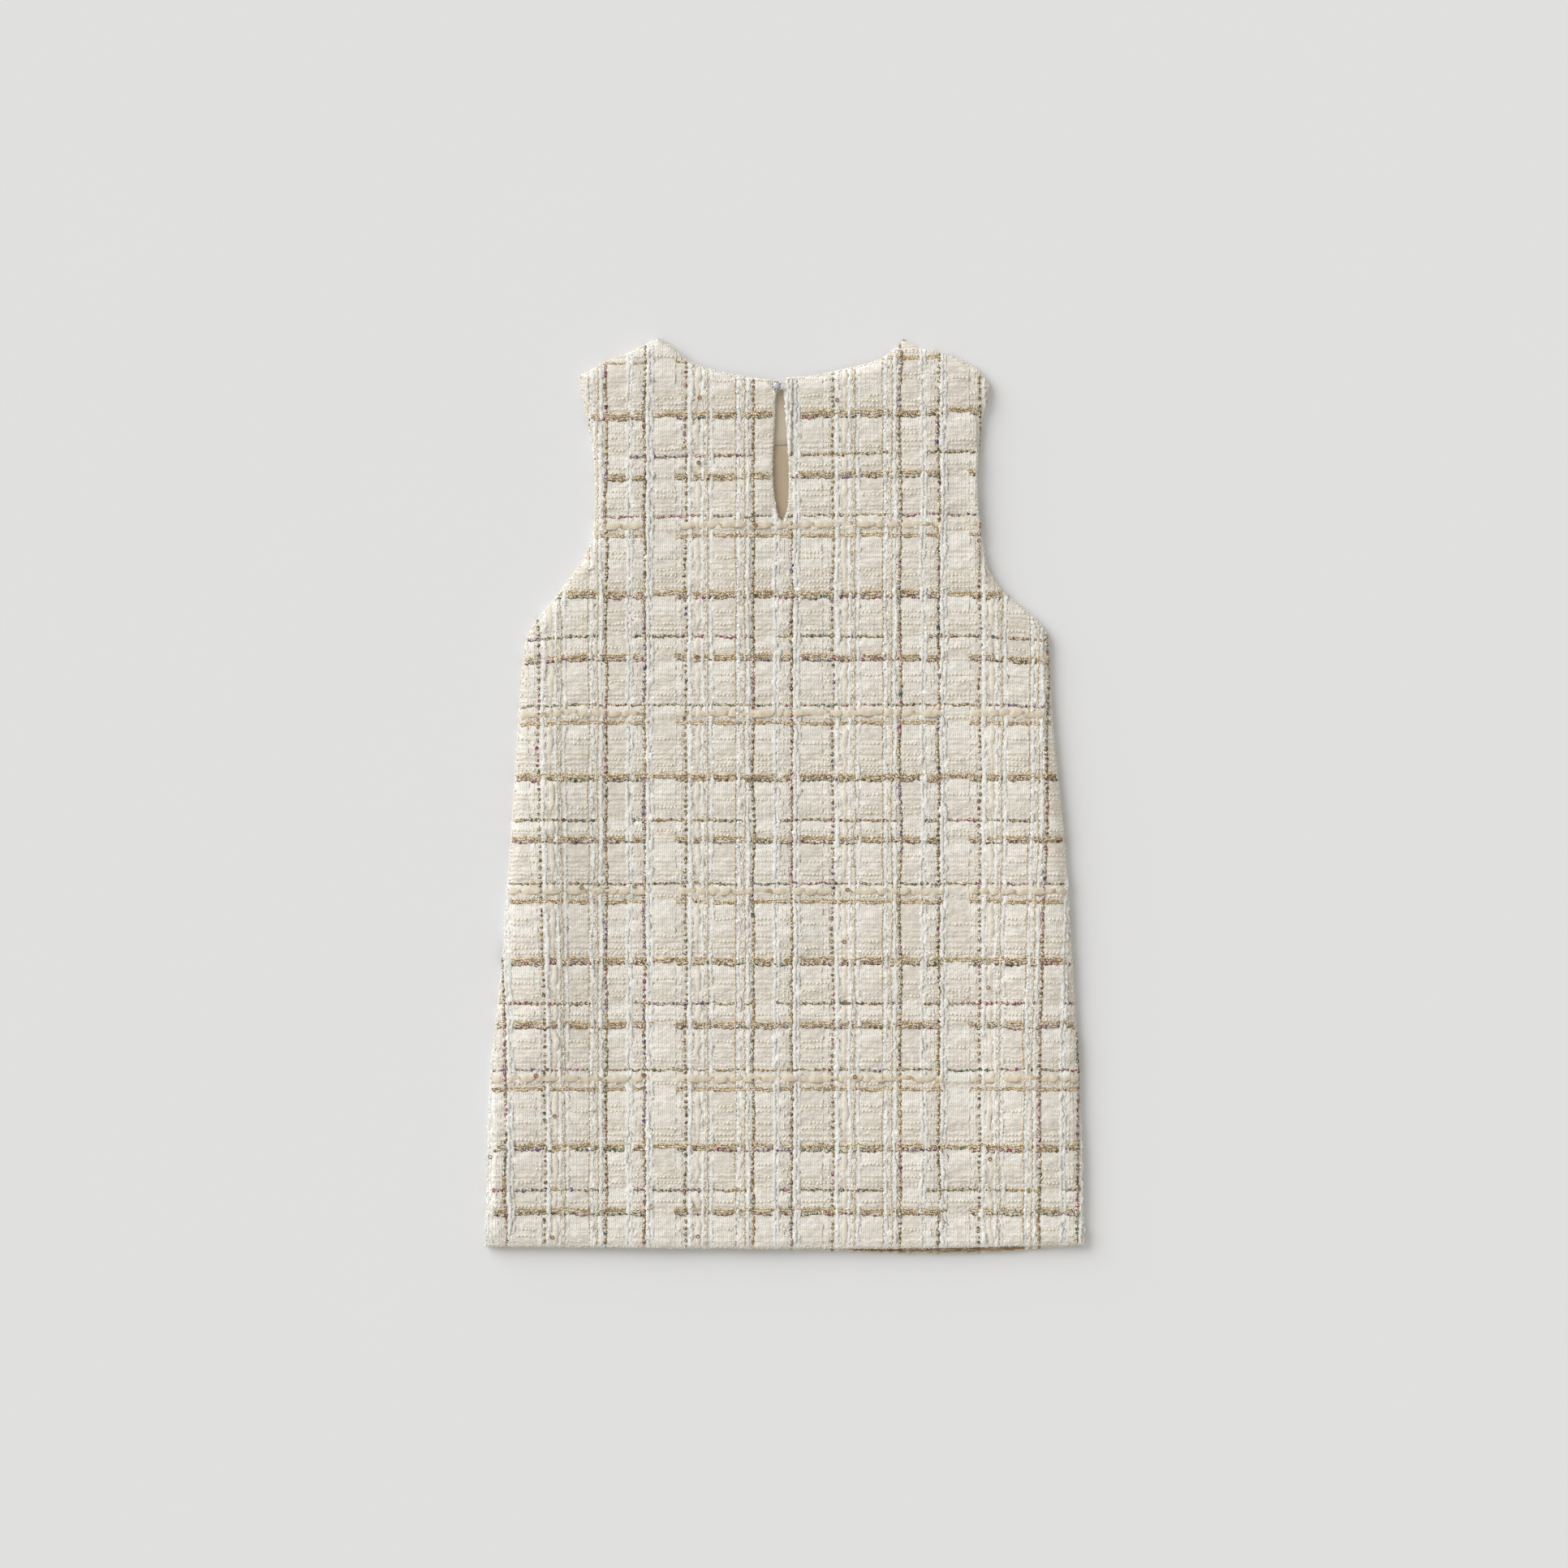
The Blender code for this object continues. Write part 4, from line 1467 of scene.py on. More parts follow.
    def _crossings(self, number: int, repeat: int, x: Array, y: Array, is_band: bool) -> Array:
        """Finds where the white bands cross over the wefts, along one of either.

        Args:
            number: the yarn's number in WARPS or in WEFTS.
            repeat: the number of its repeat.
            x: its places across.
            y: its places along.
            is_band: True for a band that lies on top, False for a weft that runs under the bands.

        Returns:
            1 at each such crossing, and 0 away from them.
        """
        layout, total = self.layout, np.zeros(len(x))
        if is_band:
            phase, size, others, reach, soft = layout.weft_phase(x, y), layout.weft_repeat, WEFTS, 1.8, 1.2
        else:
            phase, size, others, reach, soft = layout.warp_phase(x, y), layout.warp_repeat, WARPS, 0.1, 0.7
        for other, yarn in enumerate(others):
            weft = yarn if is_band else WEFTS[number]
            if weft.kind is YarnKind.SLUB or not (is_band or yarn.kind is YarnKind.BAND):
                continue
            off = phase - yarn.at
            turn = np.round(off / size)
            near = ease((yarn.width / 2 + reach - np.abs(off - turn * size)) / soft)
            pair = (number, repeat, other, turn) if is_band else (other, turn, number, repeat)
            total = np.maximum(total, near * crosses(*pair))
        return total

    def _warp(self, number: int, repeat: int, x: Array, y: Array) -> None:
        """Lays one warp yarn.

        Args:
            number: the yarn's number in WARPS.
            repeat: the number of its repeat.
            x: its places across.
            y: its places along.
        """
        warp = WARPS[number]
        count, kind, half = len(y), warp.kind, warp.width / 2
        if kind is YarnKind.GLITTER:
            beat = self._beat(y, 4.1, 20, 1.8) + 3 * warp.white - 1.4
            swell = half * (0.8 + 0.2 * beat.clip(-1, 1) + self._stray(y, 3.0, 0.12))
            beside_slit = (np.abs(x - SLIT_WARP.x) < 3) * ease((y - SLIT_WARP.y) / 3)
            lift = 0.26 * beat.clip(-1.8, 1) - 0.16 - 1.8 * beside_slit
            self._lay(kind, x, y, lift, swell, swell * 0.36, self._glitter(count, 0.4), 0.25)
        elif kind is YarnKind.BAND:
            top = self._crossings(number, repeat, x, y, True)
            over = np.maximum(self._floating(x, y, 0.3 + 0.4 * warp.white), top)
            swell = half * (0.62 + 0.38 * over) * (1 + self._stray(y, 3.6, 0.15) + self._stray(y, 13, 0.12))
            share = (0.35 + 0.65 * over)[:, None, None]
            sides = (-0.5, 0.5) if warp.width > self.wide_band else (0.0,)
            for side in sides:
                dye = self._plain(kind, count, Dyes.white, Dyes.cool, 34) * share + Dyes.ground * (1 - share)
                off = side * half + self._stray(y, 7, 0.14)
                lift = 0.06 * over - 0.05 + 0.22 * top
                self._lay(kind, x + off, y, lift, 0.8 * swell / len(sides) ** 0.6, 0.12 * swell**0.5, dye, 0.9)
        elif kind is YarnKind.FINE:
            beat = self._beat(y, 5.2, 30, 2)
            swell = half * (0.85 + 0.3 * beat + self._stray(y, 4, 0.2)).clip(0.3)
            dye = self._plain(kind, count, Dyes.cool, Dyes.ground, 9)
            self._lay(kind, x, y, 0.1 * beat - 0.08, swell, swell * 0.38, dye, 0.6)
        elif kind is YarnKind.GOLD:
            shown = self._floating(x, y, 0.25)
            for side in (-1, 1):
                beat = self._beat(y, 4.0, 24, 1.2, side)
                wide = 0.38 * (1 + 0.4 * beat)
                dye = self._twist(kind, count, Dyes.cream, Dyes.gold, 0.42)
                lift = 0.1 * shown - 0.12 + 0.3 * beat
                self._lay(kind, x + side * (half - 0.3), y, lift, wide, wide * 0.6, dye, 0.5)
            wide = np.full(count, 0.42)
            dye = self._plain(YarnKind.FINE, count, Dyes.white, Dyes.cream, 6)
            self._lay(YarnKind.FINE, x, y, np.full(count, 0.12), wide, wide * 0.5, dye)
        elif kind is YarnKind.ORANGE:
            beat = self._beat(y, 3.4, 18, 1.6)
            wide = half * (0.7 + 0.3 * beat)
            shown = self._floating(x, y, 0.35)
            dye = self._twist(kind, count, Dyes.cream, Dyes.orange, 0.55)
            self._lay(kind, x, y, 0.35 * shown - 0.3 + 0.25 * beat, wide, wide, dye)
        elif kind is YarnKind.PUFF:
            share = self.layout.rows(x, y, ROWS).share()
            petal = np.sin(math.pi * share**0.7) * ease(1.3 - share)
            swell = half * (0.3 + 0.85 * petal + self._stray(y, 5, 0.08))
            sway = self._stray(y, 16, 0.5)
            self._lay(kind, x + sway, y, 0.2 * petal - 0.1, swell, swell * 0.2, self._puff_dye(petal), 0.2)

    def _floating(self, x: Array, y: Array, least: float) -> Array:
        """Chooses where a warp floats over the ground: from each weft line down, over a part of the bay.

        Args:
            x: its places across.
            y: its places along.
            least: the smallest part of a bay that it floats over.

        Returns:
            1 on a float, and 0 where the warp sinks into the ground.
        """
        bays = self.layout.rows(x, y, ROWS)
        number = bays.counted(len(ROWS) - 1)
        number -= number.min()
        ends = self.rng.uniform(least, 1.25, number.max() + 1)[number]
        past = bays.within - bays.low
        return ease((ends * (bays.high - bays.low) - past) / 4 + 0.5) * ease(past / 1.5 + 0.4)

    def _puff_dye(self, petal: Array) -> Array:
        """Dyes a puff cream, with painted shade in the hollow where a petal ends."""
        share = ease(petal * 2.2)[:, None, None] * np.ones((1, self.skeins[YarnKind.PUFF].sides, 1))
        return Dyes.painted_crease_shade * (1 - share) * 0.5 + Dyes.cream * (0.5 + 0.5 * share)

    def edge_bands(self, upper: Place, lower: Place, insets: Sequence[float]) -> None:
        """Lays fluffy white bands along the slit's right edge, over the other yarns.

        Args:
            upper: the top of the edge.
            lower: its foot.
            insets: how far in from the edge each band lies.
        """
        t = np.arange(0, 1, 1.2 / (upper.y - lower.y))
        for inset in insets:
            x = upper.x + (lower.x - upper.x) * t**1.6 + inset + self._stray(t * 90, 16, 0.22)
            y = upper.y + (lower.y - upper.y) * t
            swell = 1.15 * (1 + self._stray(y, 4, 0.14))
            dye = self._plain(YarnKind.BAND, len(y), Dyes.white, Dyes.cool, 20)
            self._lay(YarnKind.BAND, x, y, 0.45 + 0 * y, swell, swell * 0.5, dye, 0.8)

    def lay_wefts(self) -> None:
        """Lays every weft yarn, from side to side."""
        low, high = self.cloth.panel.low, self.cloth.panel.high
        steps = {YarnKind.GLITTER: 0.85, YarnKind.SLUB: 0.9, YarnKind.CORD: 1.1}
        for number, weft in enumerate(WEFTS):
            x = np.arange(low[0], high[0], steps[weft.kind])
            bounds = low[1] - self.weft_margin, high[1] + self.weft_margin
            for repeat, even in self.layout.wefts_between(*bounds, weft.at):
                y = even + self.layout.weft_shift(x, np.full(len(x), even))
                y = y + self._stray(x, 60, 0.2) + self._stray(x, 12, 0.12)
                group = 4 * (repeat + 20) + sum(weft.at > level for level in WEFT_GROUPS)
                self._weft(number, repeat, x, y - weft.sag * self._slack(x, y, group))

    def _slack(self, x: Array, y: Array, group: int) -> Array:
        """How far a slack weft hangs in each bay between the warps that hold it.

        Args:
            x: its places across.
            y: its places along.
            group: the group of wefts that hang alike.

        Returns:
            How far it hangs at each place.
        """
        bays = self.layout.columns(x, y, HOLDS)
        number = bays.counted(len(HOLDS) - 1)
        number -= number.min()
        rng = np.random.default_rng(group)
        depth, tilt = rng.uniform(0.2, 1.5, number.max() + 1), rng.uniform(-0.7, 0.7, number.max() + 1)
        share = bays.share()
        return depth[number] * np.sin(math.pi * share) + tilt[number] * np.sin(TURN * share) * 0.7

    def _sunk(self, weft: Weft, x: Array, y: Array) -> Array:
        """How far a weft runs below the ground, from 0 to 1, in the bays where it is hidden.

        Args:
            weft: the weft.
            x: its places across.
            y: its places along.

        Returns:
            How far it is sunk at each place.
        """
        repeat = self.layout.warp_repeat
        phase = self.layout.warp_phase(x, y) % (2 * repeat)
        total = np.zeros(len(x))
        for low, high in (*weft.hidden, *((low + repeat, high + repeat) for low, high in weft.hidden), *weft.skipped):
            total = np.maximum(total, ease((phase - low) / 1.2 + 0.5) * ease((high - phase) / 1.2 + 0.5))
        return total

    def _weft(self, number: int, repeat: int, x: Array, y: Array) -> None:
        """Lays one weft yarn.

        Args:
            number: the yarn's number in WEFTS.
            repeat: the number of its repeat.
            x: its places across.
            y: its places along.
        """
        weft = WEFTS[number]
        count, kind, half = len(x), weft.kind, weft.width / 2
        sunk = np.maximum(self._sunk(weft, x, y), 0.5 * self._crossings(number, repeat, x, y, False))
        if kind is YarnKind.GLITTER:
            beat = self._beat(x, 3.4, 20, 1.8)
            swell = half * (0.8 + 0.22 * beat + self._stray(x, 3.0, 0.12))
            self._lay(kind, x, y, 0.04 * beat - 0.02 - 1.6 * sunk, swell, swell * 0.34, self._glitter(count), 0.25)
        elif kind is YarnKind.CORD:
            for side, dark in ((-1, Dyes.cord_dark), (1, Dyes.cord)):
                beat = self._beat(x, 2.9, 22, 1.4, side)
                wide = half * 0.6 * (0.95 + 0.22 * beat + self._stray(x, 2.4, 0.1))
                dye = self._twist(kind, count, Dyes.cord_light, dark, 0.56)
                self._lay(kind, x, y + side * half * 0.46, 0.05 * beat - 0.02 - 1.5 * sunk, wide, wide * 0.4, dye, 0.35)
        elif kind is YarnKind.SLUB:
            beat = (x + self._stray(x, 50, 6)) / 12.5
            share = beat - np.floor(beat)
            leaf = np.sin(math.pi * share**0.8)
            swell = half * (0.45 + 0.6 * leaf)
            sides = np.ones((1, self.skeins[kind].sides, 1))
            # Painted crease shade where one leaf of the slub meets the next.
            dark = (ease((share - 0.86) / 0.1) + ease((0.08 - share) / 0.06))[:, None, None] * sides
            dye = Dyes.slub * (1 - 0.85 * dark) + Dyes.painted_crease_shade * 0.85 * dark
            self._lay(kind, x, y + 0.9 * (share - 0.5), 0.16 * leaf - 0.1 - 1.9 * sunk, swell, swell * 0.15, dye, 0.2)

    def build(self) -> list[Object]:
        """Makes one piece for each kind of yarn."""
        made = []
        for kind, (*_, finish) in SPUN.items():
            piece = self.skeins[kind].build(finish.material())
            made.append(piece)
        return made


@dataclass
class Loops:
    """Tiny loops of yarn that stand out of the cloth, as low domes gathered into one mesh."""

    name: str
    light: Array
    dark: Array
    seed: int
    spots: list[Array] = field(default_factory=list)
    sides: int = 6

    def add(self, points: Array, half: Array, flat: float = 0.75) -> None:
        """Adds loops.

        Args:
            points: where they stand.
            half: half the width of each.
            flat: how high they are for their half width.
        """
        self.spots.append(np.column_stack([points, half, np.full(len(points), flat)]))

    def build(self) -> Object:
        """Makes all loops as one piece."""
        rng = np.random.default_rng(self.seed)
        x, y, z, half, flat = np.concatenate(self.spots).T
        count, sides = len(x), self.sides
        turn = rng.uniform(0, TURN, count)[:, None] + np.arange(sides) * TURN / sides
        stretch, lean = rng.uniform(0.8, 1.3, (count, 1)), rng.uniform(0, math.pi, (count, 1))
        rings = []
        for wide, high in ((1.0, -0.25), (0.78, 0.62)):
            r = half[:, None] * wide
            dx, dy = r * np.cos(turn) * stretch, r * np.sin(turn) / stretch
            across, along = dx * np.cos(lean) - dy * np.sin(lean), dx * np.sin(lean) + dy * np.cos(lean)
            level = (z + half * flat * high)[:, None] + 0 * dx
            rings.append(np.stack([x[:, None] + across, y[:, None] + along, level], 2))
        rings.append(np.stack([x, y, z + half * flat], 1)[:, None])
        points = np.concatenate(rings, 1)
        k, onward = np.arange(sides), (np.arange(sides) + 1) % sides
        k_over, onward_over, tip = k + sides, onward + sides, 0 * k + 2 * sides
        corners = ((k, onward, onward_over), (k, onward_over, k_over), (k_over, onward_over, tip))
        faces = np.concatenate([np.column_stack(three) for three in corners])
        faces = (faces[None] + points.shape[1] * np.arange(count)[:, None, None]).reshape(-1, 3)
        tint = rng.uniform(0, 1, (count, 1, 1)) * np.ones((1, points.shape[1], 1))
        points = points.reshape(-1, 3)
        places = (points[:, :2] - points[:, :2].min(0)) / np.ptp(points[:, :2], axis=0)
        finish = YarnFinish(self.name + "_yarn", 0.85, sheen=0.25, shine=0.35)
        made = ClothMesh.build(self.name, points, faces, finish.material(), places[faces].reshape(-1, 2))
        ClothMesh.colour(made, DYE, (self.light * tint + self.dark * (1 - tint)).reshape(-1, 3))
        return made


@dataclass
class BoucleTexture:
    """The loops of the tweed: rows of cream dots in the ground, and white nubs on bands and edges."""

    cloth: TweedShell
    layout: CheckLayout = field(default_factory=CheckLayout)
    pitch: float = 2.3
    size: float = 0.86
    full_share: float = 0.9
    part_share: float = 0.42
    seed: int = 8

    def rows(self) -> Object:
        """Makes the rows of cream dots: short rows in some of the bays."""
        rng = np.random.default_rng(self.seed)
        panel, layout = self.cloth.panel, self.layout
        dots = Loops("boucle_loops", linear((242, 235, 218)), linear((232, 223, 203)), self.seed + 1)
        edges = np.array([(w.at, w.width / 2) for w in WARPS if w.kind is not YarnKind.FINE])
        for at in BEAD_ROWS:
            share = self.full_share if at in FULL_ROWS else self.part_share
            for _, even in layout.wefts_between(panel.low[1], panel.high[1], at):
                x = np.arange(panel.low[0], panel.high[0], self.pitch)
                x = x + rng.uniform(-0.25, 0.25, len(x))
                y = even + layout.weft_shift(x, np.full(len(x), even)) + uneven(rng, x, 14, 0.25)
                bays = layout.columns(x, y, BAYS)
                number = bays.counted(len(BAYS))
                number -= number.min()
                chosen = rng.random(number.max() + 1)[number] < share
                clear = (np.abs(bays.within[:, None] - edges[:, 0]) - edges[:, 1]).min(1) > 0.4
                keep = chosen & clear & ~np.isin(bays.number, NARROW_BAYS) & (panel.depths.at(x, y) > 1.5)
                x, y = x[keep], y[keep]
                half = self.size * rng.uniform(0.75, 1.2, len(x))
                dots.add(np.column_stack([x, y, self.cloth.surface(x, y) + 0.04]), half, 0.55)
        return dots.build()

    def nubs(self, bands: Skein, count: int, edge_spacing: float) -> Object:
        """Makes the white nubs on the bands and along the edges.

        Args:
            bands: the white bands.
            count: how many nubs lie on them.
            edge_spacing: how far apart they stand along the outline.

        Returns:
            The piece.
        """
        rng = np.random.default_rng(self.seed + 5)
        nubs = Loops("white_nubs", Dyes.white, Dyes.ground, self.seed + 6, sides=5)
        line = np.concatenate([s[0] for s in bands.lines])
        wide, high = (np.concatenate([s[k] for s in bands.lines]) for k in (1, 2))
        run = np.concatenate([np.gradient(s[0], axis=0) for s in bands.lines])
        pick = rng.integers(0, len(line), count)
        run = unit(run[pick])
        off = rng.uniform(-1.25, 1.25, count)
        points = line[pick] + np.column_stack([run[:, 1], -run[:, 0], 0 * off]) * (wide[pick] * off)[:, None]
        points[:, 2] += high[pick] * (np.sqrt((1 - off**2).clip(0)) - 0.35)
        points = points[self.cloth.panel.depths.at(points[:, 0], points[:, 1]) > 0.4]
        nubs.add(points, rng.uniform(0.35, 0.85, len(points)), 0.5)
        points, out, _ = edge_points(self.cloth.panel.outline, edge_spacing, rng)
        points = points - out * rng.uniform(-0.1, 1.5, len(points))[:, None]
        height = self.cloth.surface(*points.T) + rng.uniform(-0.3, 0.1, len(points))
        nubs.add(np.column_stack([points, height]), rng.uniform(0.35, 0.75, len(points)))
        return nubs.build()


def edge_points(line: Array, spacing: float, rng: np.random.Generator) -> tuple[Array, Array, Array]:
    """Scatters points along a closed outline.

    Args:
        line: the outline.
        spacing: how far apart they lie.
        rng: the piece's own source of chance.

    Returns:
        The points, the directions outwards and the directions along the outline.
    """
    onward = np.roll(line, -1, 0)
    size = np.maximum(np.linalg.norm(onward - line, axis=1), 1e-9)
    total = np.concatenate([[0], np.cumsum(size)])
    at = np.arange(0, total[-1] - spacing, spacing)
    at = at + rng.uniform(0, spacing, len(at))
    i = np.clip(np.searchsorted(total, at, "right") - 1, 0, len(line) - 1)
    run = (onward[i] - line[i]) / size[i][:, None]
    return line[i] + run * (at - total[i])[:, None], np.column_stack([run[:, 1], -run[:, 0]]), run


@dataclass
class LooseFibres:
    """Short loose fibres along the cloth's edges."""

    cloth: ClothShell
    width: float = 0.17
    spacing: float = 0.8
    seed: int = 21

    def build(self) -> Object:
        """Makes the fibres as thin bent ribbons in one piece."""
        rng = np.random.default_rng(self.seed)
        points, out, run = edge_points(self.cloth.panel.outline, self.spacing, rng)
        count = len(points)
        points = points - out * rng.uniform(-0.2, 0.8, count)[:, None]
        start = np.column_stack([points, self.cloth.surface(*points.T) - rng.uniform(0.0, 0.5, count)])
        heading = np.column_stack([out + run * rng.normal(0, 1.0, count)[:, None], rng.uniform(-0.2, 0.4, count)])
        heading = unit(heading)
        length = rng.uniform(0.4, 1.3, count)
        flat = unit(np.column_stack([-heading[:, 1], heading[:, 0], np.zeros(count)]))
        curl = rng.normal(0, 0.6, count)
        rows = []
        for share, wide in ((0.0, 1.0), (0.4, 0.9), (0.75, 0.7), (1.0, 0.25)):
            centre = start + heading * (length * share)[:, None] + flat * (length * curl * share**2)[:, None]
            centre[:, 2] = np.maximum(centre[:, 2] - length * 0.25 * share**2, 0.1)
            rows += [centre - flat * self.width / 2 * wide, centre + flat * self.width / 2 * wide]
        quads = np.array([[0, 1, 3, 2], [2, 3, 5, 4], [4, 5, 7, 6]])
        faces = (quads[None] + 8 * np.arange(count)[:, None, None]).reshape(-1, 4)
        places = np.tile(np.array([[0.1, 0.1], [0.9, 0.1], [0.9, 0.9], [0.1, 0.9]]), (len(faces), 1))
        finish = YarnFinish("fibre", 0.9, sheen=0.2, spread=0.08)
        made = ClothMesh.build("loose_fibres", np.stack(rows, 1).reshape(-1, 3), faces, finish.material(), places)
        tint = rng.uniform(0, 1, (count, 1, 1)) * np.ones((1, 8, 1))
        ClothMesh.colour(made, DYE, (Dyes.white * tint + Dyes.cream * (1 - tint)).reshape(-1, 3))
        return made


@dataclass
class RingSequins:
    """Copper ring sequins, caught here and there in the cloth: where each lies, and which way it tilts."""

    cloth: ClothShell
    radius: float = 0.95
    thick: float = 0.33
    high: float = 0.2
    tilt: float = 0.12
    lift: float = 0.75
    turns: int = 14
    sides: int = 5
    places: tuple[tuple[float, float, float], ...] = (
        (-52.5, 244.8, 0.0), (-53.0, 204.8, 0.4), (32.0, 243.3, 0.0), (-18.0, 166.3, 0.2), (-54.0, 85.3, 0.0),
        (-125.0, -56.2, 0.5), (-92.5, -55.7, 0.0), (38.5, -57.8, 0.3), (36.5, -89.8, 0.0), (125.0, -117.8, 0.2),
        (37.0, -126.8, 0.0), (-153.0, -171.8, 0.6), (-87.0, -171.8, 0.0), (43.0, -172.8, 0.2),
        (-141.5, -196.8, 0.0), (-181.0, -222.0, 0.4), (126.0, -223.3, 0.0), (-143.0, -271.5, 0.1),
        (-53.5, -271.0, 0.0),
    )

    def build(self) -> Object:
        """Makes the rings as one piece."""
        turns, sides = self.turns, self.sides
        u, v = np.meshgrid(np.arange(turns) * TURN / turns, np.arange(sides) * TURN / sides, indexing="ij")
        wide = self.radius + self.thick * np.cos(v)
        x, y = wide * np.cos(u), wide * np.sin(u)
        points, faces = [], []
        for number, (across, along, turn) in enumerate(self.places):
            slope = self.tilt * x * math.cos(turn * 9) + self.tilt * y * math.sin(turn * 9)
            base = float(self.cloth.surface(np.array([across]), np.array([along]))[0])
            ring = np.stack([across + x, along + y, base + self.lift + self.high * np.sin(v) + slope], 2)
            points.append(ring.reshape(-1, 3))
            faces.append(tube_faces(turns + 1, sides) % (turns * sides) + number * turns * sides)
        finish = HardFinish("copper_sequin", (122, 80, 54), (168, 122, 84), 0.6, 0.3)
        made = ClothMesh.build("ring_sequins", np.concatenate(points), np.concatenate(faces), finish.material())
        return made


@dataclass
class ClearSequins:
    """Tiny clear sequins threaded between the orange and the white warps."""

    cloth: ClothShell
    layout: CheckLayout = field(default_factory=CheckLayout)
    at: float = 80.9
    pitch: float = 5.2
    radius: float = 0.72
    share: float = 0.62
    lift: float = 0.55
    sides: int = 8
    seed: int = 31

    def build(self) -> Object:
        """Makes the sequins as one piece of small faceted discs."""
        rng = np.random.default_rng(self.seed)
        low, high = self.cloth.panel.low, self.cloth.panel.high
        spots = []
        for _, even in self.layout.warps_between(low[0], high[0], self.at):
            y = np.arange(low[1] + 3, high[1] - 3, self.pitch)
            y = y + rng.uniform(-1.5, 1.5, len(y))
            x = even + self.layout.warp_shift(np.full(len(y), even), y) + rng.uniform(-0.5, 0.5, len(y))
            keep = (self.cloth.panel.depths.at(x, y) > 2) & (rng.random(len(y)) < self.share)
            spots.append(np.column_stack([x, y])[keep])
        spots = np.concatenate(spots)
        count, sides = len(spots), self.sides
        around = np.arange(sides) * TURN / sides
        size = self.radius * rng.uniform(0.7, 1.15, count)
        tilt = rng.uniform(-0.45, 0.45, (count, 2))
        z = self.cloth.surface(*spots.T) + self.lift
        rings = []
        for wide, rise in ((1.0, -0.08), (1.0, 0.05), (0.55, 0.2)):
            dx, dy = size[:, None] * wide * np.cos(around), size[:, None] * wide * np.sin(around)
            dz = rise + dx * tilt[:, :1] + dy * tilt[:, 1:]
            rings.append(np.stack([spots[:, :1] + dx, spots[:, 1:] + dy, z[:, None] + dz], 2))
        points = np.concatenate(rings, 1)
        lid = np.array([(0, j, j + 1, j + 2) for j in range(1, sides - 2, 2)])
        quads = np.concatenate([tube_faces(3, sides)[:, FLIPPED], lid + 2 * sides, lid[:, FLIPPED]])
        faces = (quads[None] + 3 * sides * np.arange(count)[:, None, None]).reshape(-1, 4)
        finish = HardFinish("clear_sequin", (236, 232, 240), (206, 224, 236), 0.35, 0.12, 0.0, 0.6)
        made = ClothMesh.build("clear_sequins", points.reshape(-1, 3), faces, finish.material())
        ClothMesh.facet(made)
        return made


@dataclass
class FrontHemYarns:
    """The gold and the white yarn that show along the front's hem, below the back's."""

    cloth: ClothShell
    low: float = 39.0
    high: float = 148.0
    insets: tuple[tuple[float, float], ...] = ((1.1, 0.62), (2.6, 0.5))
    hem_below: float = -255.0
    sides: int = 5
    seed: int = 44

    def build(self) -> Object:
        """Makes both yarns as one piece."""
        rng = np.random.default_rng(self.seed)
        skein = Skein("front_hem_yarns", self.sides)
        x = np.arange(self.low, self.high, 0.9)
        hem = self.hem_level(x)
        for inset, half in self.insets:
            y = hem + inset + uneven(rng, x, 18, 0.25)
            swell = half * (1 + uneven(rng, x, 4, 0.2))
            pick = plied(rng, len(x), self.sides)
            dye = np.where(pick < 0.4, Dyes.cord_dark, np.where(pick < 0.8, Dyes.cord, Dyes.cord_light))
            line = np.column_stack([x, y, self.cloth.surface(x, y) + 0.25])
            skein.add(line, swell, swell * 0.7, dye)
        made = skein.build(YarnFinish("hem_yarn", 0.5, 0.2, 0.0, 0.5, 2.2).material())
        return made

    def hem_level(self, x: Array) -> Array:
        """Finds the front's lower edge at each place across.

        Args:
            x: places across.

        Returns:
            The edge's level at each place.
        """
        line = self.cloth.panel.outline
        lower = line[line[:, 1] < self.hem_below]
        order = np.argsort(lower[:, 0])
        return np.interp(x, lower[order, 0], lower[order, 1])


class Seat(NamedTuple):
    """Where a trim stands: its middle, its lowest height, and how tall it is for the sizes in the class."""

    centre: Array
    floor: float
    scale: float


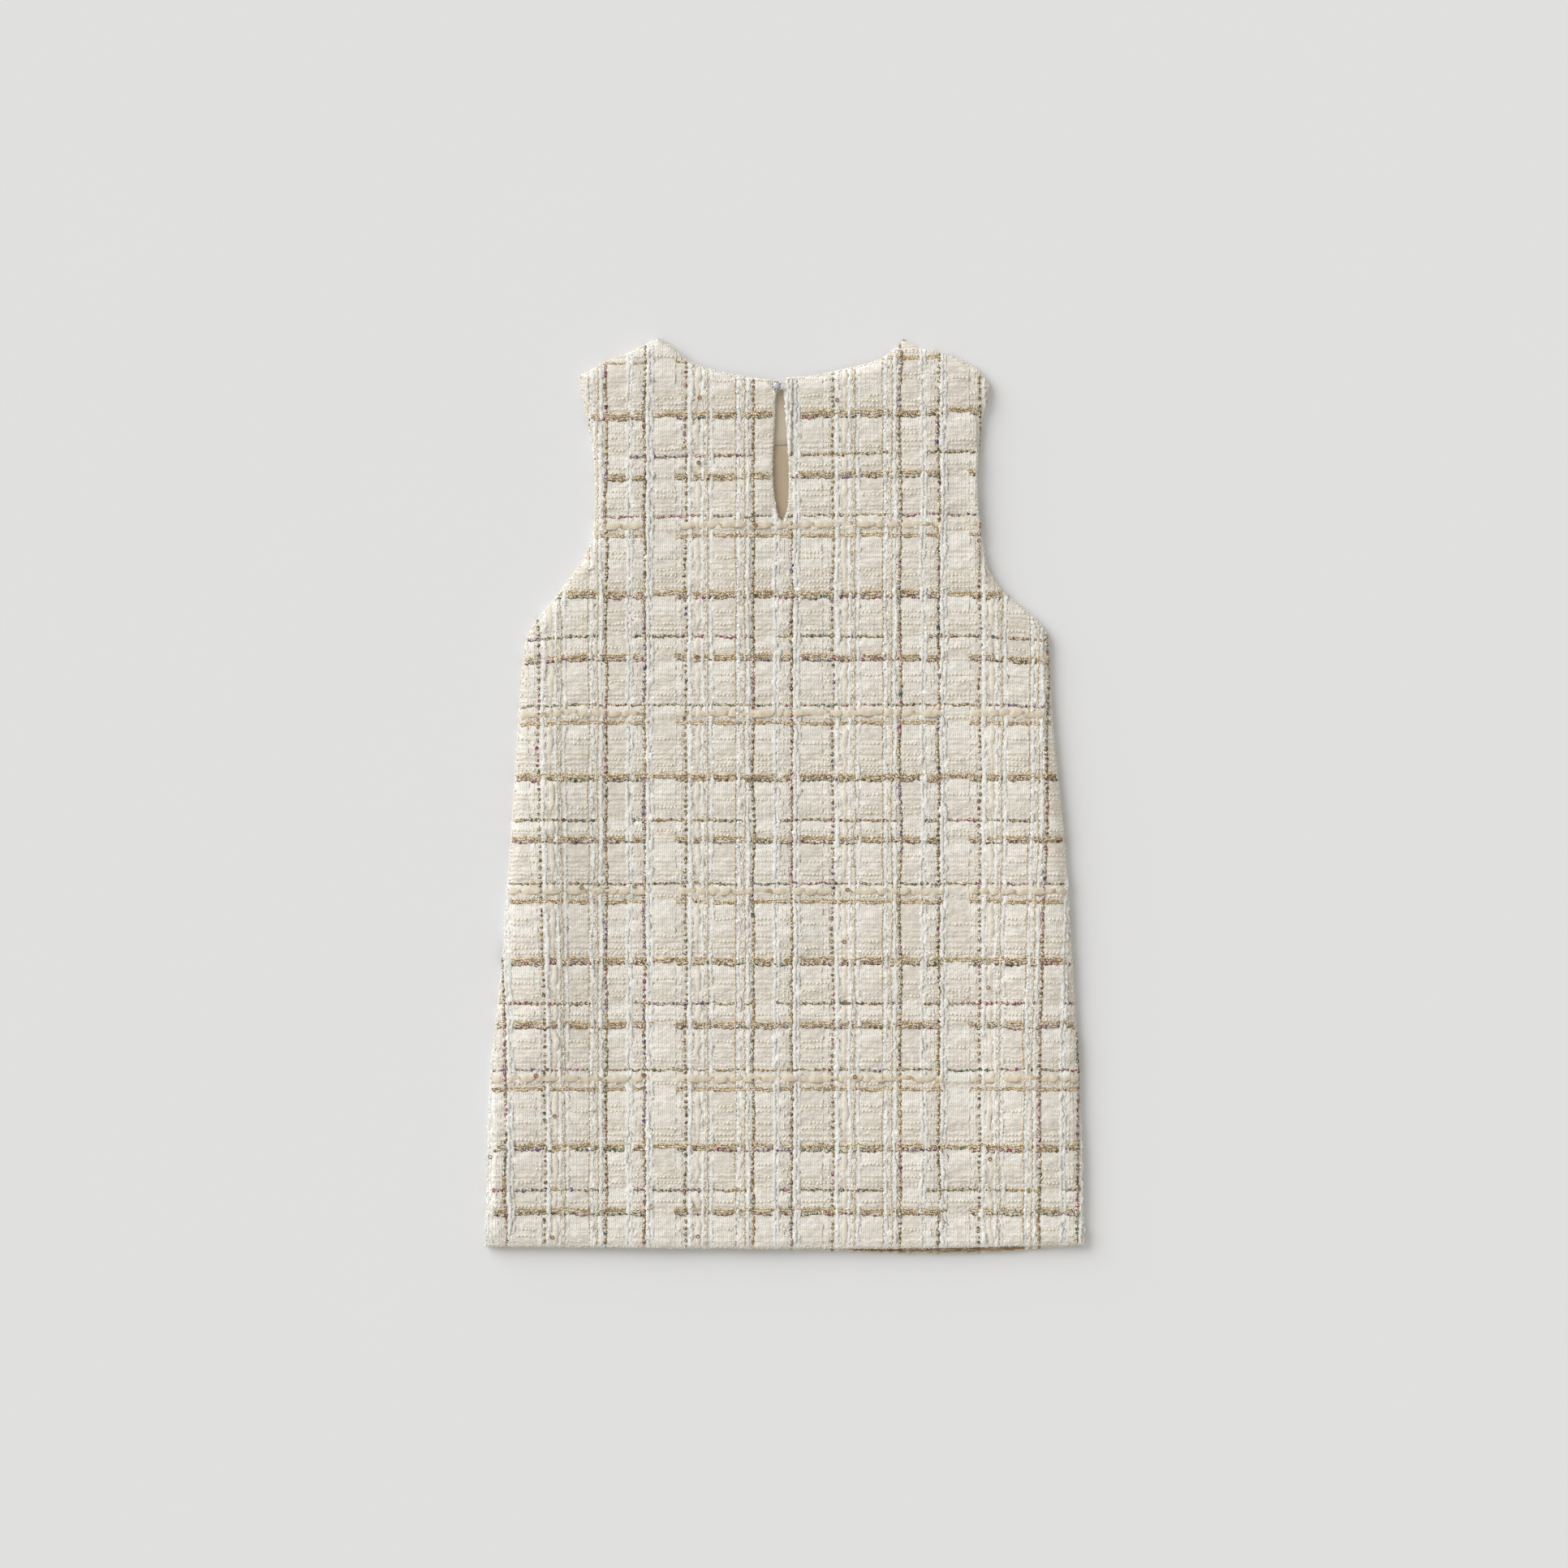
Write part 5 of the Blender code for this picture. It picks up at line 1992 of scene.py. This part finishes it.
@dataclass
class StoneButton:
    """The small clear button: a foot, a cup, a cut stone and a ring of tiny beads."""

    ring: float = 2.55
    bead: float = 0.46
    beads: int = 16
    facets: int = 12
    rise: float = 3.7

    def build(self) -> list[Object]:
        """Makes the button, which stands where the solid one does."""
        low, high = (np.array(corner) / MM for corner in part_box("button"))
        seat = Seat((low + high) / 2, low[2], (high[2] - low[2]) / self.rise)
        return [self._cup(seat), self._stone(seat), self._ring(seat)]

    def _turned(self, name: str, seat: Seat, rings: Sequence[tuple[float, float, float]], finish: Material) -> Object:
        """Makes a closed turned piece.

        Args:
            name: its name.
            seat: where it stands.
            rings: each ring's radius, height and turn.
            finish: its finish.

        Returns:
            The piece.
        """
        sides, last = self.facets, (len(rings) - 1) * self.facets
        around, (x, y, _) = np.arange(sides) * TURN / sides, seat.centre
        rings = [(r, seat.floor + z * seat.scale, t) for r, z, t in rings]
        points = [
            np.column_stack([x + r * np.cos(around + t), y + r * np.sin(around + t), 0 * around + z])
            for r, z, t in rings
        ]
        points += [np.array([[x, y, rings[0][1]], [x, y, rings[-1][1]]])]
        k, onward = np.arange(sides), (np.arange(sides) + 1) % sides
        faces = []
        for a in range(0, last, sides):
            b = a + sides
            faces += [np.column_stack([a + k, a + onward, b + k]), np.column_stack([a + onward, b + onward, b + k])]
        bottom = last + sides
        faces += [np.column_stack([onward, k, 0 * k + bottom])]
        faces += [np.column_stack([last + k, last + onward, 0 * k + bottom + 1])]
        made = ClothMesh.build(name, np.concatenate(points), np.concatenate(faces), finish)
        ClothMesh.facet(made)
        return made

    def _cup(self, seat: Seat) -> Object:
        """Makes the foot and the cup, which stand for the solid button.

        Args:
            seat: where the button stands.

        Returns:
            The piece.
        """
        finish = HardFinish("button_cup", (206, 200, 190), (228, 222, 214), 0.6, 0.3)
        profile = ((1.0, 0.0), (1.0, 1.0), (2.1, 1.2), (2.5, 1.5), (2.5, 1.8), (2.0, 2.1))
        made = self._turned("button_cup", seat, [(r, z, 0.0) for r, z in profile], finish.material())
        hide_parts("button")
        return made

    def _stone(self, seat: Seat) -> Object:
        """Makes the cut stone, whose rings of facets are turned against each other.

        Args:
            seat: where the button stands.

        Returns:
            The piece.
        """
        half = math.pi / self.facets
        rings = ((1.5, 1.9, 0.0), (2.02, 2.3, half), (1.95, 2.5, 0.0), (1.55, 3.1, half), (0.95, 3.5, 0.0))
        finish = HardFinish("cut_stone", (236, 240, 246), (214, 222, 236), 0.15, 0.06, 0.45, 0.8)
        return self._turned("button_stone", seat, rings, finish.material())

    def _ring(self, seat: Seat) -> Object:
        """Makes the ring of tiny beads, dark and light in turn.

        Args:
            seat: where the button stands.

        Returns:
            The piece.
        """
        rows, sides = ((0.0, -1.0), (0.8, -0.6), (1.0, 0.0), (0.8, 0.6), (0.0, 1.0)), 6
        around, each = np.arange(sides) * TURN / sides, len(rows) * sides
        level = seat.floor + 2.0 * seat.scale
        points, faces, dyes = [], [], []
        for number in range(self.beads):
            turn = number * TURN / self.beads
            x, y = seat.centre[0] + self.ring * math.cos(turn), seat.centre[1] + self.ring * math.sin(turn)
            for wide, high in rows:
                r, z = self.bead * wide, 0 * around + level + self.bead * high
                points.append(np.column_stack([x + r * np.cos(around), y + r * np.sin(around), z]))
            faces.append(tube_faces(len(rows), sides)[:, FLIPPED] + number * each)
            dyes.append(np.tile(linear((124, 114, 106) if number % 2 else (238, 235, 230)), (each, 1)))
        finish = YarnFinish("tiny_bead", 0.2, 0.55, 0.0, 0.6, 1.0, 0.05, 0.2)
        made = ClothMesh.build("button_beads", np.concatenate(points), np.concatenate(faces), finish.material())
        ClothMesh.colour(made, DYE, np.concatenate(dyes))
        return made


@dataclass
class ThreadLoop:
    """The twisted thread loop round the button's foot, and the loose threads beside it."""

    cloth: ClothShell
    centre: Place = Place(-5.25, 251.9)
    radius: float = 1.9
    reach: float = 6.2
    ply: float = 0.24
    pitch: float = 2.3
    apart: tuple[float, float] = (0.2, 0.16)
    threads: tuple[tuple[float, float, float, float], ...] = ((-16.8, 257.2, -8.2, 254.9), (-15.6, 255.2, -8.0, 253.4))

    def build(self) -> list[Object]:
        """Makes the loop, which stands for the solid one, and the threads."""
        low, high = (np.array(corner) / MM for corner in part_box("button_loop"))
        turns = np.linspace(math.pi / 2, 3 * math.pi / 2, 26)
        legs = np.linspace(self.reach, 0, 12)[:-1]
        x = np.concatenate([legs, self.radius * np.cos(turns), legs[::-1]])
        y = np.concatenate([0 * legs + self.radius, self.radius * np.sin(turns), 0 * legs - self.radius])
        line = np.column_stack([x + self.centre.x, y + self.centre.y, 0 * x + (low[2] + high[2]) / 2])
        loop = self._twisted("thread_loop", line)
        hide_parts("button_loop")
        skein, t = Skein("loose_threads", 4), np.linspace(0, 1, 14)
        thick, dye = np.full(len(t), 0.22), np.tile(Dyes.cream, (len(t), skein.sides, 1))
        for x0, y0, x1, y1 in self.threads:
            x, y = x0 + (x1 - x0) * t, y0 + (y1 - y0) * t + 0.5 * np.sin(t * 5)
            skein.add(np.column_stack([x, y, self.cloth.surface(x, y) + 0.45]), thick, thick, dye)
        made = skein.build(YarnFinish("loose_thread", 0.8).material())
        return [loop, made]

    def _twisted(self, name: str, line: Array) -> Object:
        """Makes a cord of two plies that turn round each other.

        Args:
            name: the piece's name.
            line: the cord's middle line.

        Returns:
            The piece.
        """
        run = unit(np.gradient(line, axis=0))
        side = np.column_stack([run[:, 1], -run[:, 0], 0 * run[:, 0]])
        length = np.concatenate([[0], np.cumsum(np.linalg.norm(np.diff(line, axis=0), axis=1))])
        skein, thick, (wide, high) = Skein(name, 6), np.full(len(line), self.ply), self.apart
        for start in (0.0, math.pi):
            turn = length * TURN / self.pitch + start
            ply = line + side * (wide * np.cos(turn))[:, None] + np.array([0, 0, high]) * np.sin(turn)[:, None]
            skein.add(ply, thick, thick, np.tile(Dyes.cream, (len(line), skein.sides, 1)))
        made = skein.build(YarnFinish("loop_thread", 0.7, sheen=0.2, shine=0.4).material())
        return made


@dataclass
class Studio:
    """The pale floor, the soft light from the upper left and the camera straight above."""

    view_width: float = 0.966
    height: float = 3.0
    middle: tuple[float, float] = (-0.0005, 0.00725)
    sensor: float = 36.0
    sun_turn: float = math.radians(140)
    sun_rise: float = math.radians(23)
    sun_size: float = math.radians(52)
    sun_power: float = 3.13
    sun_colour: Colour = (1.0, 1.026, 1.08)
    sky: float = 0.61
    sky_colour: Colour = (1.0, 0.977, 0.93)
    clip: tuple[float, float] = (0.05, 50.0)
    floor_half: float = 6.0
    floor_level: float = -0.0002

    def floor(self) -> Object:
        """Lays the floor just under the dress."""
        mesh = bpy.data.meshes.new("floor")
        half, level = self.floor_half, self.floor_level
        corners = [(x * half, y * half, level) for x, y in ((-1, -1), (1, -1), (1, 1), (-1, 1))]
        mesh.from_pydata(corners, [], [range(4)])
        mesh.materials.append(PaleFloor().material())
        made = bpy.data.objects.new("floor", mesh)
        bpy.context.scene.collection.objects.link(made)
        return made

    def light(self) -> None:
        """Hangs a large soft sun at the upper left, under an even pale sky."""
        lamp = bpy.data.lights.new("window_light", "SUN")
        lamp.energy, lamp.angle, lamp.color = self.sun_power, self.sun_size, self.sun_colour
        sun = bpy.data.objects.new("window_light", lamp)
        bpy.context.scene.collection.objects.link(sun)
        flat = math.cos(self.sun_rise)
        away = Vector((flat * math.cos(self.sun_turn), flat * math.sin(self.sun_turn), math.sin(self.sun_rise)))
        sun.rotation_euler = away.to_track_quat("Z", "Y").to_euler()
        world = bpy.data.worlds.new("pale_sky")
        world.use_nodes = True
        background = world.node_tree.nodes["Background"]
        background.inputs["Color"].default_value = (*self.sky_colour, 1.0)
        background.inputs["Strength"].default_value = self.sky
        bpy.context.scene.world = world

    def camera(self) -> None:
        """Sets the camera straight above the dress."""
        lens = bpy.data.cameras.new("camera")
        lens.sensor_width, lens.lens = self.sensor, self.sensor * self.height / self.view_width
        lens.clip_start, lens.clip_end = self.clip
        made = bpy.data.objects.new("camera", lens)
        made.location = (*self.middle, self.height)
        bpy.context.scene.collection.objects.link(made)
        bpy.context.scene.camera = made
        bpy.context.scene.view_settings.view_transform = "Standard"


def flat_area(panel: LaidPanel) -> float:
    """The area inside a cloth's outline, in square metres."""
    x, y = panel.outline.T
    return abs(float((x * np.roll(y, -1) - y * np.roll(x, -1)).sum())) / 2 * MM * MM


def declare_cloth(
    panel: LaidPanel
) -> None:
    """Works out the area of a cloth laid flat; the result is not used.

    Args:
        panel: its outline.
    """
    flat_area(panel)


def main() -> None:
    """Dresses the frame: the studio, the cloths under the slit, the back with its yarns, and the trims."""
    logging.basicConfig(level=logging.INFO, format="%(name)s: %(message)s")
    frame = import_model()
    nodes = frame["nodes"]

    studio = Studio()
    studio.floor()
    studio.light()
    studio.camera()

    panels = {name: LaidPanel(nodes[name], 2.5) for name in ("front_panel", "front_facing", "front_lining")}
    back_panel = LaidPanel(nodes["back_panel"], 1.6, roll=2.2)

    front = TweedShell("front_cloth", panels["front_panel"], 4.5, 9.0, flat_floor=True)
    front_cloth = front.build(TweedGround(painted=True).material())
    facing_cloth = ClothShell("facing_cloth", panels["front_facing"], 5.0, 10.0, rim=0.5).build(
        SatinCloth("facing", (204, 191, 169), 0.7).material()
    )
    lining_cloth = ClothShell("lining_cloth", panels["front_lining"], 8.0, 14.0, rim=0.5).build(
        SatinCloth("lining", (188, 170, 142), 0.5).material()
    )

    back = TweedShell("back_cloth", back_panel, 1.6, 4.5, creases=CREASES)
    back_cloth = back.build(TweedGround().material())
    yarns = FancyYarns(back)
    yarns.lay_warps()
    yarns.lay_wefts()
    yarns.edge_bands(Place(0.9, 257.5), Place(-1.8, 171.0), (0.9, 2.8))
    trims = yarns.build()
    texture = BoucleTexture(back)
    trims.append(texture.rows())
    trims.append(texture.nubs(yarns.skeins[YarnKind.BAND], 4500, 0.8))
    trims.append(RingSequins(back).build())
    trims.append(ClearSequins(back).build())
    trims.append(LooseFibres(back).build())
    hem_yarns = FrontHemYarns(front).build()
    StoneButton().build()
    ThreadLoop(back).build()

    declare_cloth(panels["front_panel"])
    declare_cloth(panels["front_facing"])
    declare_cloth(panels["front_lining"])
    declare_cloth(back_panel)

    log.info("all pieces made")


if __name__ == "__main__":
    main()
